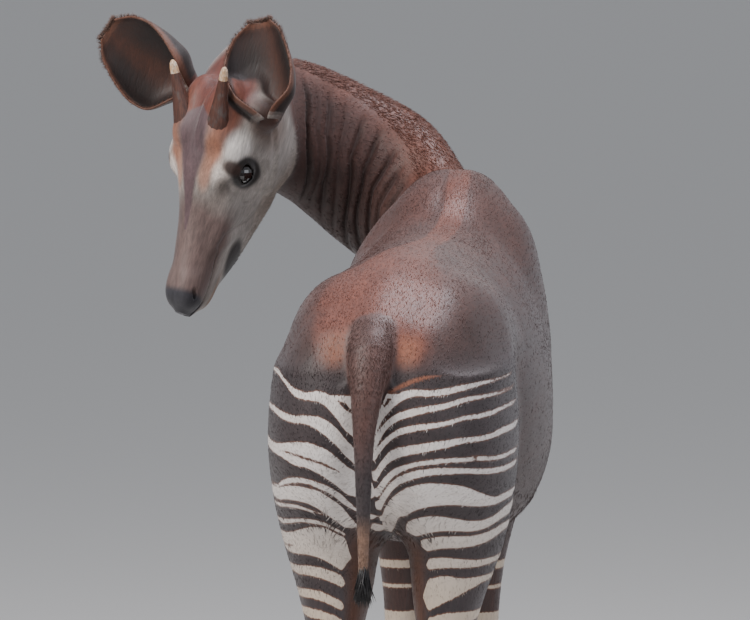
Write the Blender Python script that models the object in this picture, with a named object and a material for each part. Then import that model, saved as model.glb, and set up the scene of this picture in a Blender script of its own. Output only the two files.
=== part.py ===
"""An okapi standing square with its neck bent round to the left, so that it looks back past its own rump.

Metres, +Z up, feet on z = 0. Left and right are the animal's own: it stands facing +Y, and its left is -X.
The flesh is one smooth field, made of lofts and ellipsoids, that is meshed and then parted with thin cuts.
Horns, eyes, ears, hooves and the tail are made by themselves and sit 0.3 mm off the face they rest on.
"""

import bmesh
import bpy
import numpy as np
from mathutils import Vector

GAP = 0.0003
BODY_CELL = 0.013
HEAD_CELL = 0.0052
BODY_KEPT = 0.095
HEAD_KEPT = 0.072
HEAD_LOW, HEAD_HIGH = (-0.703, 0.1185, 1.1585), (-0.270, 0.740, 1.840)

# The trunk along Y: y, height of the widest level, half width, rise above it, drop below it.
TRUNK = (
    (-0.590, 1.140, 0.045, 0.075, 0.080),
    (-0.550, 1.110, 0.112, 0.165, 0.140),
    (-0.460, 1.075, 0.165, 0.262, 0.185),
    (-0.330, 1.050, 0.195, 0.335, 0.190),
    (-0.200, 1.045, 0.210, 0.352, 0.205),
    (-0.050, 1.045, 0.235, 0.352, 0.235),
    (0.100, 1.045, 0.245, 0.355, 0.262),
    (0.250, 1.050, 0.238, 0.375, 0.270),
    (0.380, 1.070, 0.215, 0.392, 0.265),
    (0.490, 1.095, 0.168, 0.375, 0.245),
    (0.590, 1.110, 0.118, 0.260, 0.200),
    (0.650, 1.110, 0.060, 0.130, 0.110),
)
# The legs downwards: height, distance from the middle plane, y of the middle, half width, half depth.
HIND_LEG = (
    (1.180, 0.112, -0.370, 0.095, 0.190),
    (1.050, 0.119, -0.385, 0.102, 0.205),
    (0.950, 0.121, -0.365, 0.101, 0.190),
    (0.850, 0.120, -0.365, 0.091, 0.150),
    (0.750, 0.110, -0.395, 0.070, 0.108),
    (0.650, 0.106, -0.442, 0.047, 0.078),
    (0.580, 0.106, -0.490, 0.037, 0.068),
    (0.500, 0.106, -0.495, 0.036, 0.058),
    (0.420, 0.106, -0.495, 0.026, 0.040),
    (0.280, 0.106, -0.493, 0.021, 0.028),
    (0.160, 0.106, -0.490, 0.027, 0.036),
    (0.090, 0.106, -0.470, 0.027, 0.032),
    (0.040, 0.106, -0.452, 0.036, 0.042),
)
FORE_LEG = (
    (1.150, 0.100, 0.450, 0.072, 0.130),
    (0.960, 0.106, 0.445, 0.076, 0.128),
    (0.860, 0.100, 0.430, 0.066, 0.098),
    (0.780, 0.091, 0.430, 0.053, 0.074),
    (0.680, 0.083, 0.428, 0.042, 0.055),
    (0.580, 0.081, 0.424, 0.036, 0.043),
    (0.500, 0.081, 0.423, 0.036, 0.043),
    (0.450, 0.081, 0.422, 0.032, 0.037),
    (0.390, 0.081, 0.422, 0.024, 0.027),
    (0.280, 0.081, 0.422, 0.021, 0.024),
    (0.160, 0.081, 0.418, 0.027, 0.033),
    (0.090, 0.081, 0.430, 0.027, 0.029),
    (0.040, 0.081, 0.446, 0.036, 0.041),
)
FORE_LEAN = -0.010
# The neck's centre line, from inside the chest to inside the jaw: x, y, z, half thickness, half depth.
NECK = (
    (0.000, 0.400, 1.150, 0.145, 0.190),
    (-0.010, 0.540, 1.270, 0.118, 0.196),
    (-0.070, 0.650, 1.354, 0.100, 0.160),
    (-0.165, 0.705, 1.452, 0.088, 0.158),
    (-0.270, 0.690, 1.527, 0.083, 0.144),
    (-0.355, 0.620, 1.580, 0.082, 0.136),
    (-0.410, 0.530, 1.618, 0.078, 0.112),
)
# Where the head sits and how it is turned: its own axes run from the occiput to the nose (ahead),
# up out of the forehead (crown) and to the animal's left (aside).
OCCIPUT = (-0.425, 0.490, 1.704)
HEAD_TURN = 27.0
HEAD_PITCH = 70.0
HEAD_TILT = 4.7
# The head along its axis: ahead, level of the widest part, half width, rise, drop.
HEAD = (
    (-0.040, 0.000, 0.050, 0.026, 0.060),
    (0.000, 0.000, 0.076, 0.036, 0.100),
    (0.080, 0.000, 0.088, 0.074, 0.150),
    (0.170, 0.000, 0.088, 0.096, 0.174),
    (0.240, -0.005, 0.070, 0.090, 0.172),
    (0.320, -0.015, 0.050, 0.070, 0.138),
    (0.400, -0.018, 0.043, 0.055, 0.098),
    (0.460, -0.018, 0.035, 0.047, 0.062),
    (0.500, -0.020, 0.026, 0.037, 0.040),
    (0.522, -0.022, 0.012, 0.018, 0.020),
)
EYE = (0.217, 0.003, 0.069)
EYE_RADIUS = 0.0235
SIDES = {"left": 1, "right": -1}


def unit(vector):
    vector = np.asarray(vector, float)
    return vector / np.linalg.norm(vector)


def ramp(value, low, high):
    """0 below low, 1 above high, and smooth between."""
    t = np.clip((value - low) / (high - low), 0, 1)
    return t * t * (3 - 2 * t)


def head_axes():
    turn, pitch, tilt = np.radians((HEAD_TURN, HEAD_PITCH, HEAD_TILT))
    facing = np.array((-np.sin(turn), -np.cos(turn), 0.0))
    ahead = np.cos(pitch) * facing - np.sin(pitch) * np.array((0.0, 0.0, 1.0))
    crown = np.sin(pitch) * facing + np.cos(pitch) * np.array((0.0, 0.0, 1.0))
    aside = np.cross((0.0, 0.0, 1.0), facing)
    tilted = ahead * np.cos(tilt) - aside * np.sin(tilt)
    return np.array((tilted, crown, aside * np.cos(tilt) + ahead * np.sin(tilt)))


HEAD_AXES = head_axes()


def from_head(point):
    """A point given in the head's own axes, in the body's."""
    return np.asarray(OCCIPUT) + np.asarray(point) @ HEAD_AXES


def to_head(points):
    return (points - np.asarray(OCCIPUT)) @ HEAD_AXES.T


def faired(rows, count=120):
    """A table of stations resampled along a smooth curve through them."""
    rows = np.array(sorted(map(tuple, rows)))
    at = rows[:, 0]
    slopes = np.gradient(rows[:, 1:], at, axis=0)
    fine = np.linspace(at[0], at[-1], count)
    i = np.clip(np.searchsorted(at, fine) - 1, 0, len(at) - 2)
    step = (at[i + 1] - at[i])[:, None]
    t = (fine - at[i])[:, None] / step
    start, end = rows[i, 1:], rows[i + 1, 1:]
    curve = (1 + 2 * t) * (1 - t) ** 2 * start + t * (1 - t) ** 2 * step * slopes[i]
    curve += t * t * (3 - 2 * t) * end + t * t * (t - 1) * step * slopes[i + 1]
    return fine, curve


def oval(across, up, half_width, half_height, power=2.0):
    """Distance, near enough, to an oval: negative inside it."""
    qa, qu = np.abs(across) / half_width, np.abs(up) / half_height
    size = np.maximum((qa**power + qu**power) ** (1 / power), 1e-6)
    slope = np.hypot((qa / size) ** (power - 1) / half_width, (qu / size) ** (power - 1) / half_height)
    return (size - 1) / np.maximum(slope, 1e-6)


def capped(distance, along, first, last):
    """A loft's distance with its ends closed flat."""
    beyond = np.maximum(first - along, along - last)
    return np.where(beyond > 0, np.hypot(np.maximum(distance, 0), beyond), np.maximum(distance, beyond))


def loft(along, across, up, rows, upper_power, lower_power):
    """Ovals with a level, half width, rise and drop at each station along a straight axis."""
    at, values = faired(rows)
    level, width, rise, drop = (np.interp(along, at, column) for column in values.T)
    up = up - level
    above = oval(across, up, width, rise, upper_power)
    below = oval(across, up, width, drop, lower_power)
    return capped(np.where(up > 0, above, below), along, at[0], at[-1])


def leg(points, rows, lean=0.0):
    """Ovals about a centre that moves with height, the same left and right but for a lean to one side."""
    at, values = faired(rows)
    z = points[:, 2]
    centre_x, centre_y, width, depth = (np.interp(z, at, column) for column in values.T)
    x = points[:, 0] - lean * np.interp(z, (0.70, 1.00), (1.0, 0.0))
    distance = oval(np.abs(x) - centre_x, points[:, 1] - centre_y, width, depth, 2.2)
    return capped(distance, z, at[0], at[-1])


NECK_LINE = faired([(float(i), *row) for i, row in enumerate(NECK)], 60)[1]
NECK_RUNS = np.diff(NECK_LINE[:, :3], axis=0)


def share_along(points):
    """How far along the neck's line, in steps of it, the point nearest each given one lies."""
    line = NECK_LINE[:, :3]
    away = (line**2).sum(1) - 2 * points @ line.T
    node = np.argmin(away, axis=1)
    best = np.full(len(points), np.inf)
    share = np.zeros(len(points))
    for side in (-1, 0):
        step = np.clip(node + side, 0, len(NECK_RUNS) - 1)
        run, offset = NECK_RUNS[step], points - line[step]
        t = np.clip((offset * run).sum(1) / (run * run).sum(1), 0, 1)
        gap = ((offset - t[:, None] * run) ** 2).sum(1)
        share = np.where(gap < best, step + t, share)
        best = np.minimum(gap, best)
    return share


def on_neck_line(share):
    """The neck's line and its direction at the given shares, in steps of it."""
    steps = np.arange(len(NECK_LINE))
    at = np.column_stack([np.interp(share, steps, column) for column in NECK_LINE.T])
    run = np.column_stack([np.interp(share, steps[:-1] + 0.5, column) for column in NECK_RUNS.T])
    return at, run


def neck(points):
    """Distance to ovals set square to a centre line that climbs and bends."""
    share = share_along(points)
    for _ in range(3):
        at, run = on_neck_line(share)
        error = ((points - at[:, :3]) * run).sum(1) / (run * run).sum(1)
        share = np.clip(share + 0.6 * error, 0, len(NECK_RUNS))
    at, run = on_neck_line(share)
    run /= np.linalg.norm(run, axis=1)[:, None]
    aside = np.column_stack((run[:, 1], -run[:, 0], np.zeros(len(run))))
    aside /= np.linalg.norm(aside, axis=1)[:, None]
    above = np.cross(aside, run)
    offset = points - at[:, :3]
    distance = oval((offset * aside).sum(1), (offset * above).sum(1), at[:, 3], at[:, 4])
    start, end = NECK_LINE[0, :3], NECK_LINE[-1, :3]
    before, after = (start - points) @ unit(NECK_RUNS[0]), (points - end) @ unit(NECK_RUNS[-1])
    beyond = np.maximum(before, after)
    return np.where(beyond > 0, np.hypot(np.maximum(distance, 0), beyond), distance)


def ellipsoid(points, centre, radii):
    q = points - np.asarray(centre)
    radii = np.asarray(radii)
    size = np.maximum(np.linalg.norm(q / radii, axis=1), 1e-6)
    slope = np.maximum(np.linalg.norm(q / radii**2, axis=1), 1e-6)
    return (size - 1) * size / slope


def blend(a, b, reach):
    """The union of two fields, with the crease between them filled over this reach."""
    h = np.maximum(reach - np.abs(a - b), 0) / reach
    return np.minimum(a, b) - h * h * reach / 4


# The body bends a little with the neck: its hindquarters swing to the left, its withers to the right, each above
# the legs, which stay put. Rows are y and offset.
REAR_SWAY = ((-0.560, -0.017), (-0.420, -0.009), (-0.280, 0.000))
FRONT_SWAY = ((0.200, 0.000), (0.320, 0.004), (0.450, 0.012), (0.560, 0.010), (0.680, 0.000))


def straightened(points):
    """Points moved aside so that the bent body lies about x = 0."""
    rear = np.interp(points[:, 1], *np.transpose(REAR_SWAY)) * ramp(points[:, 2], 0.78, 0.95)
    front = np.interp(points[:, 1], *np.transpose(FRONT_SWAY)) * ramp(points[:, 2], 1.28, 1.42)
    return points - np.outer(rear + front, (1, 0, 0))


def mirrored(points):
    return np.abs(points[:, 0])[:, None] * (1, 0, 0) + points * (0, 1, 1)


HEAD_BLEND = 0.018
# Masses under the skin, the same on both sides: centre, radii, reach of the blend.
MASSES = (
    ((0.110, -0.350, 1.090), (0.106, 0.205, 0.250), 0.07),  # haunch
    ((0.085, -0.500, 1.080), (0.070, 0.095, 0.190), 0.05),  # hamstrings
    ((0.116, -0.200, 1.246), (0.062, 0.120, 0.064), 0.10),  # point of hip
    ((0.115, 0.430, 1.180), (0.080, 0.150, 0.220), 0.07),  # shoulder
    ((0.130, 0.360, 0.960), (0.070, 0.110, 0.110), 0.06),  # back of the upper arm
    ((0.080, 0.560, 1.050), (0.080, 0.090, 0.110), 0.06),  # point of the shoulder
    ((0.026, 0.450, 1.404), (0.060, 0.150, 0.078), 0.09),  # withers
)
# The same on the head, in its own axes.
HEAD_MASSES = (
    ((0.130, -0.085, 0.052), (0.090, 0.088, 0.034), 0.03),  # cheek
    ((0.200, 0.036, 0.058), (0.050, 0.040, 0.031), 0.02),  # rim of the orbit
    ((0.290, -0.018, 0.034), (0.080, 0.030, 0.018), 0.03),  # cheekbone running on to the muzzle
    ((0.110, 0.070, 0.030), (0.070, 0.036, 0.035), 0.03),  # brow
    ((0.160, 0.080, 0.038), (0.036, 0.027, 0.027), 0.02),  # swelling at the foot of the horn
    ((0.094, 0.010, 0.086), (0.036, 0.040, 0.040), 0.02),  # root of the ear
    ((0.468, -0.006, 0.017), (0.040, 0.030, 0.018), 0.02),  # side of the nose
    ((0.455, -0.056, 0.010), (0.042, 0.019, 0.023), 0.015),  # lower lip and chin
)


def flesh(points):
    """The whole animal but for its ears, horns, hooves and tail: negative inside."""
    straight = straightened(points)
    value = loft(straight[:, 1], straight[:, 0], straight[:, 2], TRUNK, 2.0, 2.5)
    value = blend(value, leg(points, HIND_LEG), 0.05)
    value = blend(value, leg(points, FORE_LEG, FORE_LEAN), 0.05)
    both = mirrored(straight)
    for centre, radii, reach in MASSES:
        value = blend(value, ellipsoid(both, centre, radii), reach)
    value = blend(value, neck(points), 0.07)
    return blend(value, skull(points), HEAD_BLEND)


def skull(points):
    own = to_head(points)
    value = loft(own[:, 0], own[:, 2], own[:, 1], HEAD, 2.1, 2.6)
    both = np.column_stack((own[:, 0], own[:, 1], np.abs(own[:, 2])))
    for centre, radii, reach in HEAD_MASSES:
        value = blend(value, ellipsoid(both, centre, radii), reach)
    lid = np.linalg.norm(both - EYE, axis=1) - EYE_RADIUS - 0.0035
    return blend(value, lid, 0.012)


def surface_net(field, low, high, cell):
    """Points and four-sided faces of the field's zero surface on a grid of cubes, facing out."""
    axes = [np.arange(a, b + cell, cell) for a, b in zip(low, high)]
    grid = np.stack(np.meshgrid(*axes, indexing="ij"), axis=-1)
    values = field(grid.reshape(-1, 3)).reshape(grid.shape[:3])
    inside = values < 0
    corners = [(i, j, k) for i in (0, 1) for j in (0, 1) for k in (0, 1)]
    shape = np.array(values.shape) - 1

    def corner(array, at):
        return array[at[0]:shape[0] + at[0], at[1]:shape[1] + at[1], at[2]:shape[2] + at[2]]

    count = sum(corner(inside, at).astype(int) for at in corners)
    cells = np.argwhere((count > 0) & (count < 8))
    index = np.full(tuple(shape), -1)
    index[tuple(cells.T)] = np.arange(len(cells))
    total, crossings = np.zeros((len(cells), 3)), np.zeros(len(cells))
    for a in corners:
        for axis in range(3):
            if a[axis]:
                continue
            b = tuple(1 if i == axis else a[i] for i in range(3))
            va, vb = (values[tuple((cells + at).T)] for at in (a, b))
            crosses = (va < 0) != (vb < 0)
            t = np.where(crosses, va / np.where(crosses, va - vb, 1), 0)[:, None]
            pa, pb = (grid[tuple((cells + at).T)] for at in (a, b))
            total += np.where(crosses[:, None], pa + t * (pb - pa), 0)
            crossings += crosses
    faces = []
    for axis in range(3):
        step = np.eye(3, dtype=int)[axis]
        side, top = np.eye(3, dtype=int)[(axis + 1) % 3], np.eye(3, dtype=int)[(axis + 2) % 3]
        here = inside[tuple(slice(0, n - s) for n, s in zip(inside.shape, step))]
        there = inside[tuple(slice(s, n) for n, s in zip(inside.shape, step))]
        edges = np.argwhere(here != there)
        edges = edges[((edges * (side + top)).sum(1) > 0) & (edges @ side > 0) & (edges @ top > 0)]
        edges = edges[(edges @ side < shape @ side) & (edges @ top < shape @ top)]
        ring = [index[tuple((edges - offset).T)] for offset in (side + top, top, 0 * top, side)]
        quads = np.stack(ring, axis=1)
        leaving = here[tuple(edges.T)]
        faces.append(np.where(leaving[:, None], quads, quads[:, ::-1]))
    return total / crossings[:, None], np.concatenate(faces)


def new_object(name, points, faces):
    mesh = bpy.data.meshes.new(name)
    mesh.from_pydata(np.asarray(points).tolist(), [], [tuple(face) for face in faces])
    mesh.update()
    thing = bpy.data.objects.new(name, mesh)
    bpy.context.scene.collection.objects.link(thing)
    return thing


def baked(thing):
    """Replaces an object's mesh by what its modifiers make of it."""
    bpy.context.view_layer.update()
    graph = bpy.context.evaluated_depsgraph_get()
    mesh = bpy.data.meshes.new_from_object(thing.evaluated_get(graph))
    thing.modifiers.clear()
    thing.data = mesh
    return thing


def thinned(thing, ratio):
    modifier = thing.modifiers.new("Thin", "DECIMATE")
    modifier.ratio = ratio
    return baked(thing)


def cut(thing, cutters):
    """Takes each cutter away in turn, and uses it up. The exact solver drops a piece once one is cut free."""
    for cutter in cutters:
        modifier = thing.modifiers.new("Cut", "BOOLEAN")
        modifier.operation = "DIFFERENCE"
        modifier.solver = "MANIFOLD"
        modifier.object = cutter
        baked(thing)
        bpy.data.objects.remove(cutter)
    return thing


def joined(thing, other):
    """Fuses another solid into this one, and uses it up."""
    modifier = thing.modifiers.new("Join", "BOOLEAN")
    modifier.operation = "UNION"
    modifier.solver = "EXACT"
    modifier.object = other
    baked(thing)
    bpy.data.objects.remove(other)
    return thing


def box(low, high):
    (x0, y0, z0), (x1, y1, z1) = low, high
    points = [(x, y, z) for x in (x0, x1) for y in (y0, y1) for z in (z0, z1)]
    faces = [(0, 1, 3, 2), (4, 6, 7, 5), (0, 4, 5, 1), (2, 3, 7, 6), (0, 2, 6, 4), (1, 5, 7, 3)]
    return faced_out(new_object("Cutter", points, faces))


def slab(centre, normal, radius, thickness=GAP):
    """A thin square plate across a limb."""
    normal = unit(normal)
    first = unit(np.cross(normal, (0.31, 0.17, 0.93)))
    second = np.cross(normal, first)
    points = []
    for side in (0.5, -0.5):
        for a, b in ((1, 1), (-1, 1), (-1, -1), (1, -1)):
            points.append(centre + radius * (a * first + b * second) + side * thickness * normal)
    faces = [(0, 1, 2, 3), (7, 6, 5, 4), (0, 4, 5, 1), (1, 5, 6, 2), (2, 6, 7, 3), (3, 7, 4, 0)]
    return faced_out(new_object("Cutter", points, faces))


def kept_side(thing, centre, normal):
    """Keeps what lies on the side the normal points to, and closes the cut flat."""
    net = bmesh.new()
    net.from_mesh(thing.data)
    parts = net.verts[:] + net.edges[:] + net.faces[:]
    bmesh.ops.bisect_plane(net, geom=parts, plane_co=centre, plane_no=normal, clear_inner=True)
    bmesh.ops.holes_fill(net, edges=[edge for edge in net.edges if edge.is_boundary], sides=0)
    bmesh.ops.triangulate(net, faces=[face for face in net.faces if len(face.verts) > 4])
    bmesh.ops.recalc_face_normals(net, faces=net.faces)
    net.to_mesh(thing.data)
    net.free()
    return thing


def loose_parts(thing):
    """Each closed piece of an object as its own, the largest first."""
    net = bmesh.new()
    net.from_mesh(thing.data)
    net.verts.ensure_lookup_table()
    group = [-1] * len(net.verts)
    groups = []
    for start in net.verts:
        if group[start.index] >= 0:
            continue
        group[start.index] = len(groups)
        found, queue = [], [start]
        while queue:
            vert = queue.pop()
            found.append(vert.index)
            for edge in vert.link_edges:
                other = edge.other_vert(vert)
                if group[other.index] < 0:
                    group[other.index] = len(groups)
                    queue.append(other)
        groups.append(found)
    points = np.array([vert.co for vert in net.verts])
    made = []
    for number, found in enumerate(groups):
        renumber = {old: new for new, old in enumerate(found)}
        faces = [
            [renumber[vert.index] for vert in face.verts]
            for face in net.faces
            if group[face.verts[0].index] == number
        ]
        if faces:
            made.append(new_object(f"Part{number}", points[found], faces))
    net.free()
    bpy.data.objects.remove(thing)
    return sorted(made, key=lambda part: -len(part.data.vertices))


def middle_of(thing):
    points = np.array([vert.co for vert in thing.data.vertices])
    return (points.min(0) + points.max(0)) / 2


def skinned(sections, first_cap=True, last_cap=True):
    """Closed rings of equal length joined one to the next, with a fan at each end."""
    sections = np.asarray(sections)
    rings, sides = sections.shape[:2]
    points = list(sections.reshape(-1, 3))
    faces = []
    for ring in range(rings - 1):
        for side in range(sides):
            a, b = ring * sides + side, ring * sides + (side + 1) % sides
            faces.append((a, b, b + sides, a + sides))
    if first_cap:
        faces.append(tuple(reversed(range(sides))))
    if last_cap:
        faces.append(tuple(range((rings - 1) * sides, rings * sides)))
    return points, faces


def faced_out(thing):
    net = bmesh.new()
    net.from_mesh(thing.data)
    bmesh.ops.recalc_face_normals(net, faces=net.faces)
    if net.calc_volume(signed=True) < 0:
        bmesh.ops.reverse_faces(net, faces=net.faces)
    net.to_mesh(thing.data)
    net.free()
    return thing


def sweep(name, line, widths, depths, aside, sides=12):
    """A tube along a line, with oval sections square to it and its ends closed."""
    line = np.asarray(line, float)
    runs = np.gradient(line, axis=0)
    angles = np.linspace(0, 2 * np.pi, sides, endpoint=False)
    sections = []
    for centre, run, width, depth in zip(line, runs, widths, depths):
        first = unit(np.asarray(aside) - unit(run) * np.dot(aside, unit(run)))
        second = np.cross(unit(run), first)
        ring = np.outer(np.cos(angles) * width, first) + np.outer(np.sin(angles) * depth, second)
        sections.append(centre + ring)
    return faced_out(new_object(name, *skinned(sections)))


def ball(name, centre, radius, rings=12, sides=16):
    heights = np.linspace(0, np.pi, rings + 1)[1:-1]
    angles = np.linspace(0, 2 * np.pi, sides, endpoint=False)
    points = [(0, 0, radius)]
    for height in heights:
        for angle in angles:
            level = np.sin(height) * radius
            points.append((level * np.cos(angle), level * np.sin(angle), np.cos(height) * radius))
    points.append((0, 0, -radius))
    faces = [(0, 1 + side, 1 + (side + 1) % sides) for side in range(sides)]
    for ring in range(len(heights) - 1):
        for side in range(sides):
            a, b = 1 + ring * sides + side, 1 + ring * sides + (side + 1) % sides
            faces.append((a, a + sides, b + sides, b))
    last = 1 + (len(heights) - 1) * sides
    faces += [(len(points) - 1, last + (side + 1) % sides, last + side) for side in range(sides)]
    return faced_out(new_object(name, np.asarray(points) + centre, faces))


# Feet: the plane the hooves' tops lie in climbs forwards.
CORONET_SLOPE = 0.42
HOOF_LENGTH = 0.104
HOOF_WIDTH = 0.042
CLEFT = 0.003
FEET = {"fore": (0.081, -0.010, 0.446), "hind": (0.106, 0.000, -0.452)}
CORONET = 0.050


def coronet_height(y, foot_y):
    return CORONET + CORONET_SLOPE * (y - foot_y)


def hoof(name, claw_side, middle_x, foot_y):
    """One claw: a D-shaped sole, drawn in and back towards the coronet."""
    angles = np.linspace(0, 2 * np.pi, 18, endpoint=False)
    sections = []
    for rise in (0.0, 0.12, 0.5, 1.0):
        foot = min(rise / 0.12, 1)
        length = HOOF_LENGTH * (0.97 + 0.03 * foot - 0.30 * rise)
        width = HOOF_WIDTH * (0.94 + 0.06 * foot - 0.12 * rise)
        ring = []
        for angle in angles:
            forward, out = np.cos(angle), np.sin(angle)
            breadth = width * 0.5 * abs(out) ** 0.8 * (1 - 0.34 * max(forward, 0) ** 2)
            reach = max(CLEFT / 2 + width * 0.42 + np.sign(out) * breadth, CLEFT / 2)
            y = foot_y + 0.010 - 0.016 * rise + forward * length / 2
            ring.append((middle_x + claw_side * reach, y, rise * (coronet_height(y, foot_y) - GAP)))
        sections.append(ring)
    return faced_out(new_object(name, *skinned(sections)))


def hooves():
    for foot, (middle, lean, foot_y) in FEET.items():
        for side, sign in (("left", -1), ("right", 1)):
            for claw, claw_side in (("inner", -sign), ("outer", sign)):
                hoof(f"{foot}_hoof_{side}_{claw}", claw_side, sign * middle + lean, foot_y)


# Horns, in the head's axes: where the base is, which way it leans, how long the haired cone and bare tip are.
HORN_BASE = (0.172, 0.071, 0.035)
HORN_LEAN = (-0.87, 0.50, 0.21)
HORN_LENGTH = 0.130
HORN_TIP = 0.028
HORN_RADII = ((0.0, 0.0265), (0.22, 0.0250), (0.42, 0.0205), (0.69, 0.0145), (1.0, 0.0096))
TIP_RADII = ((0.0, 0.0092), (0.4, 0.0088), (0.75, 0.0070), (0.93, 0.0042), (1.0, 0.0020))


def horn(side, sign):
    """The haired cone and its bare tip, and the socket the cone stands in."""
    base = from_head(np.array(HORN_BASE) * (1, 1, sign))
    lean = unit(np.array(HORN_LEAN) * (1, 1, sign)) @ HEAD_AXES
    across = unit(np.cross(lean, HEAD_AXES[0]))
    for name, start, length, radii, spare in (
        (f"horn_{side}", 0.0, HORN_LENGTH, HORN_RADII, 0.0),
        (f"horn_tip_{side}", HORN_LENGTH + GAP, HORN_TIP, TIP_RADII, 0.0),
        (f"socket_{side}", -GAP, HORN_LENGTH, HORN_RADII, GAP),
    ):
        line = [base + lean * (start + share * length) for share, _ in radii]
        sizes = [radius + spare for _, radius in radii]
        socket = sweep(name, line, sizes, sizes, across, 14)
    return socket


# Ears: base in the head's axes, the way the ear points and the way its hollow faces in the body's, and how much
# of its breadth shows below and above its axis.
EARS = {
    "left": ((0.104, 0.016, 0.122), (-0.150, 0.240, 0.944), (-0.229, -0.952, 0.097), (0.72, 1.12)),
    "right": ((0.060, 0.025, -0.098), (-0.82, -0.08, 0.57), (-0.12, -0.97, -0.10), (1.0, 1.0)),
}
EAR_LENGTH = 0.205
EAR_SHEET = 0.0064
EAR_CLEARANCE = 0.0026
# Along the ear: share of its length, breadth below and above its axis, depth of the cup, and how far it curls
# below and above in degrees.
EAR_ROWS = (
    (0.00, 0.024, 0.024, 0.024, 165.0, 165.0),
    (0.08, 0.044, 0.036, 0.036, 140.0, 150.0),
    (0.20, 0.078, 0.058, 0.050, 112.0, 138.0),
    (0.38, 0.090, 0.068, 0.054, 96.0, 122.0),
    (0.58, 0.084, 0.070, 0.048, 88.0, 104.0),
    (0.76, 0.070, 0.064, 0.036, 82.0, 88.0),
    (0.90, 0.054, 0.050, 0.024, 76.0, 78.0),
    (1.00, 0.028, 0.026, 0.012, 70.0, 70.0),
)


def ear_rings(side, spare):
    """Rings up the ear: its outer face, and its inner face a sheet's thickness inside that."""
    base, along, facing, spread = EARS[side]
    base = from_head(base)
    along = unit(along)
    facing = unit(np.array(facing) - along * np.dot(along, facing))
    across = -SIDES[side] * np.cross(along, facing)
    share, values = faired(EAR_ROWS, 11)
    strips = np.linspace(-1, 1, 13)
    outer, inner = [], []
    for at, (below, above, cup, curl_below, curl_above) in zip(share, values):
        angles = strips * np.radians(np.where(strips < 0, curl_below, curl_above))
        breadth = np.where(angles < 0, below * spread[0], above * spread[1])
        middle = np.outer(breadth * np.sin(angles), across) - np.outer(cup * np.cos(angles), facing)
        middle += base + along * at * EAR_LENGTH + facing * cup * 0.6
        normal = np.outer(np.sin(angles) / breadth, across) - np.outer(np.cos(angles) / cup, facing)
        normal /= np.linalg.norm(normal, axis=1)[:, None]
        half = EAR_SHEET / 2 * np.where(np.abs(strips) < 0.99, 1, 0.4)[:, None]
        outer.append(middle + normal * (half + spare))
        inner.append(middle - normal * half)
    return np.array(outer), np.array(inner), along, facing


def ear(side):
    """A leaf-shaped sheet rolled into a cup, thick enough to stand by itself, and the socket it stands in."""
    outer, inner, along, facing = ear_rings(side, 0.0)
    rings = np.concatenate((outer, inner[:, ::-1]), axis=1)
    faced_out(new_object(f"ear_{side}", *skinned(rings)))
    filled = ear_rings(side, EAR_CLEARANCE)[0]
    filled[0] -= along * EAR_CLEARANCE
    filled[:, (0, -1)] += facing * EAR_SHEET
    return faced_out(new_object(f"ear_socket_{side}", *skinned(filled)))


# The tail: x, y, z, half width, half depth, hanging from the root behind the croup.
TAIL = (
    (-0.016, -0.530, 1.265, 0.042, 0.032),
    (-0.017, -0.578, 1.225, 0.042, 0.031),
    (-0.018, -0.611, 1.170, 0.034, 0.026),
    (-0.021, -0.630, 1.100, 0.024, 0.019),
    (-0.022, -0.636, 1.030, 0.018, 0.016),
    (-0.022, -0.638, 0.950, 0.015, 0.013),
    (-0.022, -0.639, 0.880, 0.012, 0.011),
    (-0.022, -0.640, 0.825, 0.010, 0.010),
)
TAIL_CLEARANCE = 0.0008
# The tuft: its core, and the flat locks that hang from it, some nearer the middle and some shorter.
TUFT_CORE = ((0.000, 0.0105), (0.012, 0.0115), (0.026, 0.0090), (0.038, 0.0040))
TUFT_LOCKS = 9
TUFT_DROPS = (0.072, 0.085, 0.078)
LOCK_COURSE = ((0.06, 0.35, 0.0050), (0.30, 0.80, 0.0075), (0.60, 1.00, 0.0070), (0.85, 0.85, 0.0045), (1.0, 0.60, 0.0010))
LOCK_REACH = (0.0110, 0.0140)
LOCK_FLATNESS = 0.36


def tail_tuft(top):
    """Flat locks fused at their roots with a short core, bending out and in again as they hang."""
    heights, radii = np.transpose(TUFT_CORE)
    core = sweep("tail_tuft", [top - (0, 0, height) for height in heights], radii, radii, (1, 0, 0), 10)
    for lock in range(TUFT_LOCKS):
        angle = 2 * np.pi * lock / TUFT_LOCKS
        out = np.array((np.cos(angle), np.sin(angle), 0.0))
        along = np.array((-np.sin(angle), np.cos(angle), 0.0))
        drop, reach = TUFT_DROPS[lock % 3], LOCK_REACH[lock % 2]
        line = [top + out * reach * away - (0, 0, drop * share) for share, away, _ in LOCK_COURSE]
        widths = np.array([width for _, _, width in LOCK_COURSE])
        joined(core, sweep("Lock", line, widths, widths * LOCK_FLATNESS, along, 6))


def tail():
    """The tail in a socket of its own shape, and the tuft under it."""
    numbered = [(float(i), *row) for i, row in enumerate(TAIL)]
    _, line = faired(numbered, 16)
    sweep("tail", line[:, :3], line[:, 3], line[:, 4], (1, 0, 0), 12)
    root = line.copy()
    root[0, :3] -= unit(line[1, :3] - line[0, :3]) * TAIL_CLEARANCE
    root[:, 3:] += TAIL_CLEARANCE
    socket = sweep("tail_socket", root[:, :3], root[:, 3], root[:, 4], (1, 0, 0), 12)
    cut(bpy.data.objects["torso"], [socket])
    tail_tuft(line[-1, :3] - (0, 0, GAP))


# Cuts across the flesh: a point in the plane, the way the plane faces, half the size of the plate.
NECK_BASE_CUT = ((-0.035, 0.600, 1.320), (-0.13, 0.72, 0.68), 0.27)
NECK_MIDDLE_CUT = ((-0.270, 0.690, 1.527), (-0.84, -0.28, 0.46), 0.20)
HEAD_CUT = ((-0.382, 0.576, 1.600), (-0.51, -0.856, -0.07), 0.19)
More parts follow.
